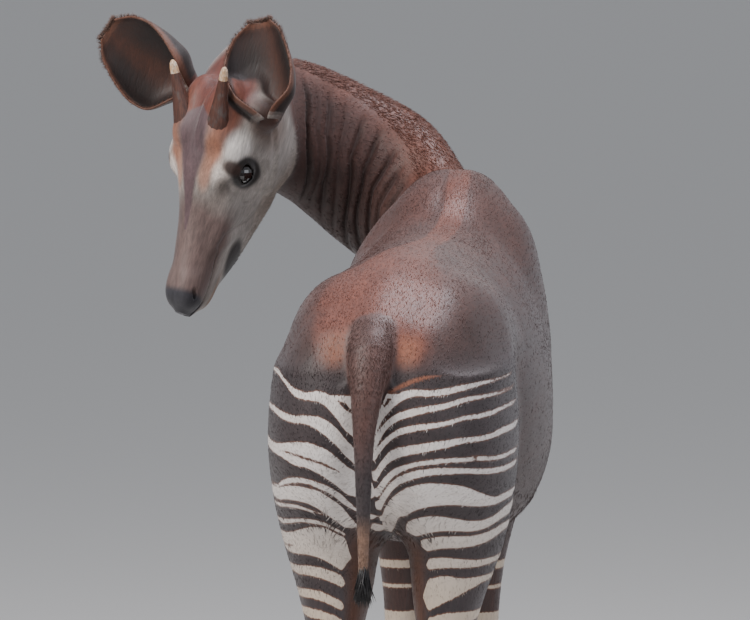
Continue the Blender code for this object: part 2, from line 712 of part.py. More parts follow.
# Level cuts through the legs: height, nearest and farthest x, rear and front y.
LEG_CUTS = (
    (0.800, 0.006, 0.260, -0.640, -0.140),
    (0.560, 0.006, 0.260, -0.640, -0.140),
    (0.765, 0.004, 0.230, 0.300, 0.570),
    (0.470, 0.004, 0.230, 0.300, 0.570),
)
# Where each piece of the parted flesh lies, to name it by.
PIECES = {
    "torso": (0.00, 0.00, 1.12),
    "neck_lower": (-0.12, 0.68, 1.38),
    "neck_upper": (-0.32, 0.66, 1.56),
    "head": (-0.48, 0.40, 1.50),
    "hind_leg_left": (-0.11, -0.42, 0.68),
    "hind_leg_right": (0.11, -0.42, 0.68),
    "hind_cannon_left": (-0.11, -0.48, 0.30),
    "hind_cannon_right": (0.11, -0.48, 0.30),
    "fore_leg_left": (-0.09, 0.43, 0.62),
    "fore_leg_right": (0.07, 0.43, 0.62),
    "fore_cannon_left": (-0.09, 0.43, 0.25),
    "fore_cannon_right": (0.07, 0.43, 0.25),
}


def leg_cutters():
    for height, near, far, rear, front in LEG_CUTS:
        yield box((near, rear, height), (far, front, height + GAP))
        yield box((-far, rear, height), (-near, front, height + GAP))


def parted_body():
    """The flesh from a coarse grid, in pieces. The head's piece is left for the finer grid to make."""
    points, faces = surface_net(flesh, (-0.66, -0.66, 0.0), (0.32, 0.86, 1.86), BODY_CELL)
    body = thinned(new_object("Body", points, faces), BODY_KEPT)
    plates = [slab(*cut_at) for cut_at in (NECK_BASE_CUT, NECK_MIDDLE_CUT, HEAD_CUT)]
    parts = loose_parts(cut(body, plates + list(leg_cutters())))
    for part in parts:
        middle = middle_of(part)
        part.name = min(PIECES, key=lambda name: np.linalg.norm(middle - PIECES[name]))
    bpy.data.objects.remove(bpy.data.objects["head"])
    for foot, (_, _, foot_y) in FEET.items():
        for side in SIDES:
            normal = (0, -CORONET_SLOPE, 1)
            kept_side(bpy.data.objects[f"{foot}_cannon_{side}"], (0, foot_y, CORONET), normal)


# The opening between the lids, in the head's axes: the way it faces, half its length and half its height.
EYE_FACING = (0.20, 0.40, 0.89)
EYE_OPENING = (0.0210, 0.0160)


def lid_cutter(sign):
    """An almond-shaped shaft from inside the eye outwards."""
    facing = unit(np.array(EYE_FACING))
    along = unit(np.cross(facing, (0.45, 1.0, 0.0)))
    above = np.cross(along, facing)
    angles = np.linspace(0, 2 * np.pi, 16, endpoint=False)
    sections = []
    for reach, size in ((0.004, 0.8), (0.018, 1.0), (0.045, 1.5)):
        half_length, half_height = np.array(EYE_OPENING) * size
        ring = np.outer(np.cos(angles) * half_length, along)
        ring += np.outer(np.sign(np.sin(angles)) * np.abs(np.sin(angles)) ** 1.3 * half_height, above)
        sections.append([from_head((np.array(EYE) + facing * reach + p) * (1, 1, sign)) for p in ring])
    return faced_out(new_object("Cutter", *skinned(sections)))


# The mouth line on each side, from its corner to the front of the lips: ahead, level.
MOUTH = ((0.378, -0.022), (0.405, -0.027), (0.430, -0.034), (0.461, -0.038), (0.491, -0.036), (0.512, -0.034))
MOUTH_DEPTH = 0.009
MOUTH_GAP = 0.003


def mouth_cutter():
    """A thin plate bent round the muzzle, which goes only a little way into the lips."""
    at, values = faired(HEAD)
    inner = []
    for ahead, level in MOUTH:
        middle, width, _, drop = (np.interp(ahead, at, column) for column in values.T)
        share = min(abs(level - middle) / drop, 0.98)
        inner.append((ahead, level, width * (1 - share**2.2) ** (1 / 2.2) - MOUTH_DEPTH))
    path = inner + [(ahead, level, -width) for ahead, level, width in reversed(inner)]
    sections = []
    for ahead, level, width in path:
        outward = 0.06 * np.sign(width)
        onward = 0.05 * max(0.0, (ahead - 0.44) / 0.07)
        sections.append([
            from_head((ahead, level - MOUTH_GAP / 2, width)),
            from_head((ahead, level + MOUTH_GAP / 2, width)),
            from_head((ahead + onward, level + MOUTH_GAP / 2, width + outward)),
            from_head((ahead + onward, level - MOUTH_GAP / 2, width + outward)),
        ])
    return faced_out(new_object("Cutter", *skinned(sections)))


NOSTRIL = (0.480, 0.000, 0.034)
NOSTRIL_SIZE = (0.013, 0.0055, 0.011)
NOSTRIL_TURN = 35.0


def nostril_cutter(sign):
    turn = np.radians(NOSTRIL_TURN)
    pit = ball("Cutter", (0, 0, 0), 1.0, 8, 12)
    for vert in pit.data.vertices:
        ahead, up, side = np.array(vert.co) * NOSTRIL_SIZE
        turned = (ahead * np.cos(turn) + up * np.sin(turn), up * np.cos(turn) - ahead * np.sin(turn), side)
        vert.co = from_head((np.array(NOSTRIL) + turned) * (1, 1, sign))
    return faced_out(pit)


def head():
    """The head from a finer grid, with its sockets, lids, nostrils and the line of the mouth cut in."""
    points, faces = surface_net(flesh, HEAD_LOW, HEAD_HIGH, HEAD_CELL)
    solid = thinned(new_object("head", points, faces), HEAD_KEPT)
    centre, normal, _ = HEAD_CUT
    normal = unit(normal)
    kept_side(solid, centre + normal * GAP / 2, normal)
    cutters = []
    for side, sign in SIDES.items():
        eye = from_head(np.array(EYE) * (1, 1, sign))
        ball(f"eye_{side}", eye, EYE_RADIUS)
        cutters.append(ball("Cutter", eye, EYE_RADIUS + GAP))
        cutters.append(lid_cutter(sign))
        cutters.append(nostril_cutter(sign))
        cutters.append(horn(side, sign))
        cutters.append(ear(side))
    cutters.append(mouth_cutter())
    largest, *rest = loose_parts(cut(solid, cutters))
    largest.name = "head"
    for scrap in rest:
        bpy.data.objects.remove(scrap)


def coloured(thing, colour, roughness):
    material = bpy.data.materials.new(thing.name)
    material.use_nodes = True
    shader = material.node_tree.nodes["Principled BSDF"]
    shader.inputs["Base Color"].default_value = (*colour, 1)
    shader.inputs["Roughness"].default_value = roughness
    thing.data.materials.clear()
    thing.data.materials.append(material)


COLOURS = (
    ("eye", (0.012, 0.008, 0.006), 0.08),
    ("hoof", (0.030, 0.022, 0.018), 0.45),
    ("horn_tip", (0.620, 0.500, 0.340), 0.40),
    ("tail_tuft", (0.012, 0.010, 0.012), 0.70),
    ("", (0.085, 0.030, 0.018), 0.60),
)


def centred():
    """Moves everything so that the middle of the box round it stands on the origin."""
    points = np.concatenate([[vert.co for vert in thing.data.vertices] for thing in bpy.data.objects])
    low, high = points.min(0), points.max(0)
    shift = Vector(((low[0] + high[0]) / -2, (low[1] + high[1]) / -2, -low[2]))
    for thing in bpy.data.objects:
        for vert in thing.data.vertices:
            vert.co += shift


def main():
    for thing in list(bpy.data.objects):
        bpy.data.objects.remove(thing)
    parted_body()
    head()
    hooves()
    tail()
    for thing in bpy.data.objects:
        _, colour, roughness = next(row for row in COLOURS if row[0] in thing.name)
        coloured(thing, colour, roughness)
    centred()


main()
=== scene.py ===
"""The okapi dressed: one skin over its flesh, tufts of coat, wet eyes, horns and hooves.

Metres, +Z up. Shapes are worked out in the animal's own frame, where it stands facing +Y with its left
at -X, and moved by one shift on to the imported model.
"""

import bpy
import numpy as np
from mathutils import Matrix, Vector
from mathutils.bvhtree import BVHTree


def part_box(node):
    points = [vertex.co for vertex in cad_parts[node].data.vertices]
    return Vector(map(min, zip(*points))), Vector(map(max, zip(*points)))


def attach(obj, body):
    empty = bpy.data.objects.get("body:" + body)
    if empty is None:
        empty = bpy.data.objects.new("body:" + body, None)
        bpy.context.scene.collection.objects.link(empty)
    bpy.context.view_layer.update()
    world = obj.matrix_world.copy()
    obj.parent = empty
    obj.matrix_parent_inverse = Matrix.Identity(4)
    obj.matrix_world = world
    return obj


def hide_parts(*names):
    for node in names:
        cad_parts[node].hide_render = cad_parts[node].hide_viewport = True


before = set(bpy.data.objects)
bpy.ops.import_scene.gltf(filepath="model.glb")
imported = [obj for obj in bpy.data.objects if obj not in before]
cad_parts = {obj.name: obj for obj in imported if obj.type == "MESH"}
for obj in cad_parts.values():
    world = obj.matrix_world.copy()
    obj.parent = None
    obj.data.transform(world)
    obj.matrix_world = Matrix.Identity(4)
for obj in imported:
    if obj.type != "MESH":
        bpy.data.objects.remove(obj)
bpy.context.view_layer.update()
draw = np.random.default_rng(41)

# The trunk along Y: y, height of the widest level, half width, rise above it, drop below it.
TRUNK = (
    (-0.590, 1.140, 0.045, 0.075, 0.080),
    (-0.550, 1.110, 0.112, 0.165, 0.140),
    (-0.460, 1.075, 0.165, 0.262, 0.185),
    (-0.330, 1.050, 0.195, 0.335, 0.190),
    (-0.200, 1.045, 0.210, 0.352, 0.205),
    (-0.050, 1.045, 0.235, 0.352, 0.235),
    (0.100, 1.045, 0.245, 0.355, 0.262),
    (0.250, 1.050, 0.238, 0.375, 0.270),
    (0.380, 1.070, 0.215, 0.392, 0.265),
    (0.490, 1.095, 0.168, 0.375, 0.245),
    (0.590, 1.110, 0.118, 0.260, 0.200),
    (0.650, 1.110, 0.060, 0.130, 0.110),
)
# The legs downwards: height, distance from the middle plane, y of the middle, half width, half depth.
HIND_LEG = (
    (1.180, 0.112, -0.370, 0.095, 0.190),
    (1.050, 0.119, -0.385, 0.102, 0.205),
    (0.950, 0.121, -0.365, 0.101, 0.190),
    (0.850, 0.120, -0.365, 0.091, 0.150),
    (0.750, 0.110, -0.395, 0.070, 0.108),
    (0.650, 0.106, -0.442, 0.047, 0.078),
    (0.580, 0.106, -0.490, 0.037, 0.068),
    (0.500, 0.106, -0.495, 0.036, 0.058),
    (0.420, 0.106, -0.495, 0.026, 0.040),
    (0.280, 0.106, -0.493, 0.021, 0.028),
    (0.160, 0.106, -0.490, 0.027, 0.036),
    (0.090, 0.106, -0.470, 0.027, 0.032),
    (0.040, 0.106, -0.452, 0.036, 0.042),
)
FORE_LEG = (
    (1.150, 0.100, 0.450, 0.072, 0.130),
    (0.960, 0.106, 0.445, 0.076, 0.128),
    (0.860, 0.100, 0.430, 0.066, 0.098),
    (0.780, 0.091, 0.430, 0.053, 0.074),
    (0.680, 0.083, 0.428, 0.042, 0.055),
    (0.580, 0.081, 0.424, 0.036, 0.043),
    (0.500, 0.081, 0.423, 0.036, 0.043),
    (0.450, 0.081, 0.422, 0.032, 0.037),
    (0.390, 0.081, 0.422, 0.024, 0.027),
    (0.280, 0.081, 0.422, 0.021, 0.024),
    (0.160, 0.081, 0.418, 0.027, 0.033),
    (0.090, 0.081, 0.430, 0.027, 0.029),
    (0.040, 0.081, 0.446, 0.036, 0.041),
)
FORE_LEAN = -0.010
# The neck's centre line, from inside the chest to inside the jaw: x, y, z, half thickness, half depth.
NECK = (
    (0.000, 0.400, 1.150, 0.145, 0.190),
    (-0.010, 0.540, 1.270, 0.118, 0.196),
    (-0.070, 0.650, 1.354, 0.100, 0.160),
    (-0.165, 0.705, 1.452, 0.088, 0.158),
    (-0.270, 0.690, 1.527, 0.083, 0.144),
    (-0.355, 0.620, 1.580, 0.082, 0.136),
    (-0.410, 0.530, 1.618, 0.078, 0.112),
)
# Where the head sits and how it is turned. Its own axes run from the occiput to the nose (ahead),
# up out of the forehead (crown) and to the animal's left (aside).
OCCIPUT = (-0.425, 0.490, 1.704)
HEAD_TURN = 27.0
HEAD_PITCH = 70.0
HEAD_TILT = 4.7
# The head along its axis: ahead, level of the widest part, half width, rise, drop.
HEAD = (
    (-0.040, 0.000, 0.050, 0.026, 0.060),
    (0.000, 0.000, 0.076, 0.036, 0.100),
    (0.080, 0.000, 0.088, 0.074, 0.150),
    (0.170, 0.000, 0.088, 0.096, 0.174),
    (0.240, -0.005, 0.070, 0.090, 0.172),
    (0.320, -0.015, 0.050, 0.070, 0.138),
    (0.400, -0.018, 0.043, 0.055, 0.098),
    (0.460, -0.018, 0.035, 0.047, 0.062),
    (0.500, -0.020, 0.026, 0.037, 0.040),
    (0.522, -0.022, 0.012, 0.018, 0.020),
)
EYE = (0.217, 0.003, 0.069)
EYE_RADIUS = 0.0235
SIDES = {"left": 1, "right": -1}
COAT_DEPTH = 0.0010


def unit(vector):
    vector = np.asarray(vector, float)
    return vector / np.linalg.norm(vector)


def ramp(value, low, high):
    """0 below low, 1 above high, and smooth between."""
    t = np.clip((value - low) / (high - low), 0, 1)
    return t * t * (3 - 2 * t)


def head_axes():
    turn, pitch, tilt = np.radians((HEAD_TURN, HEAD_PITCH, HEAD_TILT))
    facing = np.array((-np.sin(turn), -np.cos(turn), 0.0))
    ahead = np.cos(pitch) * facing - np.sin(pitch) * np.array((0.0, 0.0, 1.0))
    crown = np.sin(pitch) * facing + np.cos(pitch) * np.array((0.0, 0.0, 1.0))
    aside = np.cross((0.0, 0.0, 1.0), facing)
    tilted = ahead * np.cos(tilt) - aside * np.sin(tilt)
    return np.array((tilted, crown, aside * np.cos(tilt) + ahead * np.sin(tilt)))


HEAD_AXES = head_axes()


def from_head(point):
    """A point given in the head's own axes, in the body's."""
    return np.asarray(OCCIPUT) + np.asarray(point) @ HEAD_AXES


def to_head(points):
    return (points - np.asarray(OCCIPUT)) @ HEAD_AXES.T


def shift_to_frame():
    """From the body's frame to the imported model's, read off the left eye."""
    low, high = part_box("eye_left")
    return np.array((low + high) / 2) - from_head(EYE)


SHIFT = shift_to_frame()


def faired(rows, count=120):
    """A table of stations resampled along a smooth curve through them."""
    rows = np.array(sorted(map(tuple, rows)))
    at = rows[:, 0]
    slopes = np.gradient(rows[:, 1:], at, axis=0)
    fine = np.linspace(at[0], at[-1], count)
    i = np.clip(np.searchsorted(at, fine) - 1, 0, len(at) - 2)
    step = (at[i + 1] - at[i])[:, None]
    t = (fine - at[i])[:, None] / step
    start, end = rows[i, 1:], rows[i + 1, 1:]
    curve = (1 + 2 * t) * (1 - t) ** 2 * start + t * (1 - t) ** 2 * step * slopes[i]
    curve += t * t * (3 - 2 * t) * end + t * t * (t - 1) * step * slopes[i + 1]
    return fine, curve


def oval(across, up, half_width, half_height, power=2.0):
    """Distance, near enough, to an oval: negative inside it."""
    qa, qu = np.abs(across) / half_width, np.abs(up) / half_height
    size = np.maximum((qa**power + qu**power) ** (1 / power), 1e-6)
    slope = np.hypot((qa / size) ** (power - 1) / half_width, (qu / size) ** (power - 1) / half_height)
    return (size - 1) / np.maximum(slope, 1e-6)


def capped(distance, along, first, last):
    """A loft's distance with its ends closed flat."""
    beyond = np.maximum(first - along, along - last)
    return np.where(beyond > 0, np.hypot(np.maximum(distance, 0), beyond), np.maximum(distance, beyond))


def loft(along, across, up, rows, upper_power, lower_power):
    """Ovals with a level, half width, rise and drop at each station along a straight axis."""
    at, values = faired(rows)
    level, width, rise, drop = (np.interp(along, at, column) for column in values.T)
    up = up - level
    above = oval(across, up, width, rise, upper_power)
    below = oval(across, up, width, drop, lower_power)
    return capped(np.where(up > 0, above, below), along, at[0], at[-1])


def leg(points, rows, lean=0.0):
    """Ovals about a centre that moves with height, the same left and right but for a lean to one side."""
    at, values = faired(rows)
    z = points[:, 2]
    centre_x, centre_y, width, depth = (np.interp(z, at, column) for column in values.T)
    x = points[:, 0] - lean * np.interp(z, (0.70, 1.00), (1.0, 0.0))
    distance = oval(np.abs(x) - centre_x, points[:, 1] - centre_y, width, depth, 2.2)
    return capped(distance, z, at[0], at[-1])


NECK_LINE = faired([(float(i), *row) for i, row in enumerate(NECK)], 60)[1]
NECK_RUNS = np.diff(NECK_LINE[:, :3], axis=0)


def share_along(points):
    """How far along the neck's line, in steps of it, the point nearest each given one lies."""
    line = NECK_LINE[:, :3]
    away = (line**2).sum(1) - 2 * points @ line.T
    node = np.argmin(away, axis=1)
    best = np.full(len(points), np.inf)
    share = np.zeros(len(points))
    for side in (-1, 0):
        step = np.clip(node + side, 0, len(NECK_RUNS) - 1)
        run, offset = NECK_RUNS[step], points - line[step]
        t = np.clip((offset * run).sum(1) / (run * run).sum(1), 0, 1)
        gap = ((offset - t[:, None] * run) ** 2).sum(1)
        share = np.where(gap < best, step + t, share)
        best = np.minimum(gap, best)
    return share


def on_neck_line(share):
    """The neck's line and its direction at the given shares, in steps of it."""
    steps = np.arange(len(NECK_LINE))
    at = np.column_stack([np.interp(share, steps, column) for column in NECK_LINE.T])
    run = np.column_stack([np.interp(share, steps[:-1] + 0.5, column) for column in NECK_RUNS.T])
    return at, run


def along_neck(points):
    """Distance to the neck, how far along it from 0 to 1, and the offset across and up from its line."""
    share = share_along(points)
    for _ in range(3):
        at, run = on_neck_line(share)
        error = ((points - at[:, :3]) * run).sum(1) / (run * run).sum(1)
        share = np.clip(share + 0.6 * error, 0, len(NECK_RUNS))
    at, run = on_neck_line(share)
    run /= np.linalg.norm(run, axis=1)[:, None]
    aside = np.column_stack((run[:, 1], -run[:, 0], np.zeros(len(run))))
    aside /= np.linalg.norm(aside, axis=1)[:, None]
    above = np.cross(aside, run)
    offset = points - at[:, :3]
    across, upward = (offset * aside).sum(1), (offset * above).sum(1)
    distance = oval(across, upward, at[:, 3], at[:, 4])
    start, end = NECK_LINE[0, :3], NECK_LINE[-1, :3]
    before, after = (start - points) @ unit(NECK_RUNS[0]), (points - end) @ unit(NECK_RUNS[-1])
    beyond = np.maximum(before, after)
    distance = np.where(beyond > 0, np.hypot(np.maximum(distance, 0), beyond), distance)
    return distance, share / len(NECK_RUNS), across, upward


# The skin of the neck folds where it bends: how far along it each fold runs, its depth and its half width, and
# how a fold slants from the crest down to the crook.
NECK_FOLDS = (
    (0.870, 0.0110, 0.010),
    (0.815, 0.0030, 0.010),
    (0.762, 0.0070, 0.011),
    (0.700, 0.0030, 0.010),
    (0.630, 0.0075, 0.011),
    (0.563, 0.0080, 0.010),
    (0.492, 0.0085, 0.009),
    (0.435, 0.0070, 0.009),
    (0.385, 0.0050, 0.008),
)
FOLD_SLANT = ((-0.15, -0.190), (-0.10, -0.130), (-0.05, -0.065), (0.00, 0.000), (0.06, 0.020), (0.11, 0.030))
NECK_LENGTH = 0.81


def neck_folds(share, across, upward):
    """How deep in a fold each point lies, 1 at the bottom of the deepest."""
    at, slant = np.transpose(FOLD_SLANT)
    line = share - np.interp(upward, at, slant)
    depth = np.zeros(len(share))
    for middle, deep, width in NECK_FOLDS:
        depth += deep * np.exp(-(((line - middle) * NECK_LENGTH / width) ** 2))
    fade = ramp(-across, 0.015, 0.060) * (1 - ramp(upward, 0.04, 0.10)) * ramp(upward, -0.20, -0.13)
    return depth / NECK_FOLDS[0][1] * fade


def ellipsoid(points, centre, radii):
    q = points - np.asarray(centre)
    radii = np.asarray(radii)
    size = np.maximum(np.linalg.norm(q / radii, axis=1), 1e-6)
    slope = np.maximum(np.linalg.norm(q / radii**2, axis=1), 1e-6)
    return (size - 1) * size / slope


def blend(a, b, reach):
    """The union of two fields, with the crease between them filled over this reach."""
    h = np.maximum(reach - np.abs(a - b), 0) / reach
    return np.minimum(a, b) - h * h * reach / 4


def carved(a, b, reach):
    """The first field with the second taken away, and the edge between them rounded."""
    return -blend(-a, b, reach)


# The body bends a little with the neck: its hindquarters swing to the left, its withers to the right, each above
# the legs, which stay put. Rows are y and offset.
REAR_SWAY = ((-0.560, -0.017), (-0.420, -0.009), (-0.280, 0.000))
FRONT_SWAY = ((0.200, 0.000), (0.320, 0.004), (0.450, 0.012), (0.560, 0.010), (0.680, 0.000))


def straightened(points):
    """Points moved aside so that the bent body lies about x = 0."""
    rear = np.interp(points[:, 1], *np.transpose(REAR_SWAY)) * ramp(points[:, 2], 0.78, 0.95)
    front = np.interp(points[:, 1], *np.transpose(FRONT_SWAY)) * ramp(points[:, 2], 1.28, 1.42)
    return points - np.outer(rear + front, (1, 0, 0))


def mirrored(points):
    return np.abs(points[:, 0])[:, None] * (1, 0, 0) + points * (0, 1, 1)


HEAD_BLEND = 0.018
# Masses under the skin, the same on both sides: centre, radii, reach of the blend.
MASSES = (
    ((0.110, -0.350, 1.090), (0.106, 0.205, 0.250), 0.07),  # haunch
    ((0.085, -0.500, 1.080), (0.070, 0.095, 0.190), 0.05),  # hamstrings
    ((0.116, -0.200, 1.246), (0.062, 0.120, 0.064), 0.10),  # point of hip
    ((0.115, 0.430, 1.180), (0.080, 0.150, 0.220), 0.07),  # shoulder
    ((0.130, 0.360, 0.960), (0.070, 0.110, 0.110), 0.06),  # back of the upper arm
    ((0.080, 0.560, 1.050), (0.080, 0.090, 0.110), 0.06),  # point of the shoulder
    ((0.026, 0.450, 1.404), (0.060, 0.150, 0.078), 0.09),  # withers
)
# The same on the head, in its own axes.
HEAD_MASSES = (
    ((0.130, -0.085, 0.052), (0.090, 0.088, 0.034), 0.03),  # cheek
    ((0.200, 0.036, 0.058), (0.050, 0.040, 0.031), 0.02),  # rim of the orbit
    ((0.290, -0.018, 0.034), (0.080, 0.030, 0.018), 0.03),  # cheekbone running on to the muzzle
    ((0.110, 0.070, 0.030), (0.070, 0.036, 0.035), 0.03),  # brow
    ((0.160, 0.080, 0.038), (0.036, 0.027, 0.027), 0.02),  # swelling at the foot of the horn
    ((0.094, 0.010, 0.086), (0.036, 0.040, 0.040), 0.02),  # root of the ear
    ((0.468, -0.006, 0.017), (0.040, 0.030, 0.018), 0.02),  # side of the nose
    ((0.455, -0.056, 0.010), (0.042, 0.019, 0.023), 0.015),  # lower lip and chin
)
# The tail: x, y, z, half width, half depth, hanging from the root behind the croup.
TAIL = (
    (-0.016, -0.530, 1.265, 0.042, 0.032),
    (-0.017, -0.578, 1.225, 0.042, 0.031),
    (-0.018, -0.611, 1.170, 0.034, 0.026),
    (-0.021, -0.630, 1.100, 0.024, 0.019),
    (-0.022, -0.636, 1.030, 0.018, 0.016),
    (-0.022, -0.638, 0.950, 0.015, 0.013),
    (-0.022, -0.639, 0.880, 0.012, 0.011),
    (-0.022, -0.640, 0.825, 0.010, 0.010),
)
TAIL_LINE = faired([(float(i), *row) for i, row in enumerate(TAIL)], 24)[1]


def tail(points):
    """A round cord that tapers down the tail's line."""
    distance = np.full(len(points), np.inf)
    for here, there in zip(TAIL_LINE[:-1], TAIL_LINE[1:]):
        run = there[:3] - here[:3]
        offset = points - here[:3]
        t = np.clip(offset @ run / (run @ run), 0, 1)
        offset = offset - t[:, None] * run
        width = here[3] + t * (there[3] - here[3])
        depth = here[4] + t * (there[4] - here[4])
        flat = offset[:, 0] * depth / width
        distance = np.minimum(distance, np.sqrt(flat**2 + offset[:, 1] ** 2 + offset[:, 2] ** 2) - depth)
    return distance


# Ears: base in the head's axes, the way the ear points and the way its hollow faces in the body's, and the
# share of its breadth below and above its axis.
EARS = {
    "left": ((0.104, 0.016, 0.122), (-0.150, 0.240, 0.944), (-0.229, -0.952, 0.097), (0.72, 1.12)),
    "right": ((0.060, 0.025, -0.098), (-0.82, -0.08, 0.57), (-0.12, -0.97, -0.10), (1.0, 1.0)),
}
EAR_LENGTH = 0.205
EAR_SHEET = 0.0085
# Along the ear: share of its length, breadth below and above its axis, depth of the cup, and how far it curls
# below and above in degrees.
EAR_ROWS = (
    (0.00, 0.024, 0.024, 0.024, 165.0, 165.0),
    (0.08, 0.044, 0.036, 0.036, 140.0, 150.0),
    (0.20, 0.078, 0.058, 0.050, 112.0, 138.0),
    (0.38, 0.090, 0.068, 0.054, 96.0, 122.0),
    (0.58, 0.084, 0.070, 0.048, 88.0, 104.0),
    (0.76, 0.070, 0.064, 0.036, 82.0, 88.0),
    (0.90, 0.054, 0.050, 0.024, 76.0, 78.0),
    (1.00, 0.028, 0.026, 0.012, 70.0, 70.0),
)
EAR_RINGS = 40
EAR_STRIPS = 48


def ear_sheet(side):
    """The middle of the ear's sheet as a grid of points, from base to tip and from rim to rim."""
    base, along, facing, spread = EARS[side]
    base = from_head(base)
    along = unit(along)
    facing = unit(np.array(facing) - along * np.dot(along, facing))
    across = -SIDES[side] * np.cross(along, facing)
    share, values = faired(EAR_ROWS, EAR_RINGS)
    strips = np.linspace(-1, 1, EAR_STRIPS)
    rings = []
    for at, (below, above, cup, curl_below, curl_above) in zip(share, values):
        angles = strips * np.radians(np.where(strips < 0, curl_below, curl_above))
        breadth = np.where(angles < 0, below * spread[0], above * spread[1])
        middle = np.outer(breadth * np.sin(angles), across) - np.outer(cup * np.cos(angles), facing)
        rings.append(middle + base + along * at * EAR_LENGTH + facing * cup * 0.6)
    return np.array(rings)


def grid_faces(rings, sides):
    return [
        (r * sides + s, r * sides + s + 1, (r + 1) * sides + s + 1, (r + 1) * sides + s)
        for r in range(rings - 1)
        for s in range(sides - 1)
    ]


def ear_trees():
    trees = {}
    for side in SIDES:
        sheet = ear_sheet(side).reshape(-1, 3)
        tree = BVHTree.FromPolygons(sheet.tolist(), grid_faces(EAR_RINGS, EAR_STRIPS))
        trees[side] = (tree, sheet.min(0), sheet.max(0))
    return trees


EAR_TREES = ear_trees()


def ear(points, side):
    """Distance to the ear's sheet, which thins towards its rim."""
    tree = EAR_TREES[side][0]
    found = [tree.find_nearest(point) for point in points.tolist()]
    distance = np.array([hit[3] for hit in found])
    cell = np.array([hit[2] for hit in found])
    ring, strip = np.divmod(cell, EAR_STRIPS - 1)
    rim = np.maximum(np.abs(strip / (EAR_STRIPS - 2) * 2 - 1), ring / (EAR_RINGS - 2))
    return distance - EAR_SHEET / 2 * (1 - 0.20 * rim**6)


def where_near(points, low, high, margin, field):
    """A field worked out only where it can matter, and far away elsewhere."""
    near = np.all((points > np.asarray(low) - margin) & (points < np.asarray(high) + margin), axis=1)
    value = np.full(len(points), 1.0)
    if near.any():
        value[near] = field(points[near])
    return value


LEG_BOXES = {
    "hind": ((-0.23, -0.60, 0.04), (0.23, -0.17, 1.18)),
    "fore": ((-0.20, 0.30, 0.04), (0.20, 0.59, 1.15)),
}
NECK_BOX = (NECK_LINE[:, :3].min(0) - 0.20, NECK_LINE[:, :3].max(0) + 0.20)
HEAD_MIDDLE = from_head((0.24, -0.04, 0.0))
HEAD_REACH = 0.33
FADE = 0.03


def folded_neck(points):
    distance, share, across, upward = along_neck(points)
    return distance + NECK_FOLDS[0][1] * neck_folds(share, across, upward)


def flesh(points):
    """The whole animal but for its horns and hooves: negative inside."""
    straight = straightened(points)
    value = loft(straight[:, 1], straight[:, 0], straight[:, 2], TRUNK, 2.0, 2.5)
    for rows, lean, where in ((HIND_LEG, 0.0, "hind"), (FORE_LEG, FORE_LEAN, "fore")):
        low, high = LEG_BOXES[where]
        value = blend(value, where_near(points, low, high, 0.09, lambda p: leg(p, rows, lean)), 0.05)
    both = mirrored(straight)
    for centre, radii, reach in MASSES:
        low, high = np.subtract(centre, radii), np.add(centre, radii)
        mass = where_near(both, low, high, reach + FADE, lambda p: ellipsoid(p, centre, radii))
        value = blend(value, mass, reach)
    value = blend(value, where_near(points, *NECK_BOX, 0.02, folded_neck), 0.07)
    value = blend(value, where_near(points, HEAD_MIDDLE - HEAD_REACH, HEAD_MIDDLE + HEAD_REACH, 0, skull), HEAD_BLEND)
    value = blend(value, where_near(points, (-0.06, -0.68, 0.80), (0.03, -0.49, 1.30), FADE, tail), 0.010)
    for side in SIDES:
        _, low, high = EAR_TREES[side]
        value = blend(value, where_near(points, low, high, 0.014, lambda p: ear(p, side)), 0.010)
    return value


LID = 0.0035


def skull(points):
    own = to_head(points)
    value = loft(own[:, 0], own[:, 2], own[:, 1], HEAD, 2.1, 2.6)
    both = np.column_stack((own[:, 0], own[:, 1], np.abs(own[:, 2])))
    for centre, radii, reach in HEAD_MASSES:
        value = blend(value, ellipsoid(both, centre, radii), reach)
    return blend(value, np.linalg.norm(both - EYE, axis=1) - EYE_RADIUS - LID, 0.012)


# The opening between the lids, in the head's axes: the way it faces, half its length and half its height.
EYE_FACING = (0.20, 0.40, 0.89)
EYE_OPENING = (0.0200, 0.0150)


def lids_opening(both):
    """An almond-shaped shaft outwards from the eye's middle."""
    facing = unit(EYE_FACING)
    along = unit(np.cross(facing, (0.45, 1.0, 0.0)))
    above = np.cross(along, facing)
    q = both - EYE
    depth = q @ facing
    opening = oval(q @ along, q @ above, *EYE_OPENING, 1.7)
    return np.maximum(opening, 0.004 - depth)


NOSTRIL = (0.480, 0.000, 0.034)
NOSTRIL_SIZE = (0.013, 0.0055, 0.011)
NOSTRIL_TURN = 35.0
# The mouth line on each side, from its corner to the front of the lips: ahead, level.
MOUTH = (
    (0.372, -0.022), (0.388, -0.023), (0.405, -0.027), (0.430, -0.034),
    (0.461, -0.038), (0.491, -0.036), (0.530, -0.033),
)
MOUTH_DEPTH = 0.007
MOUTH_WIDTH = 0.0016


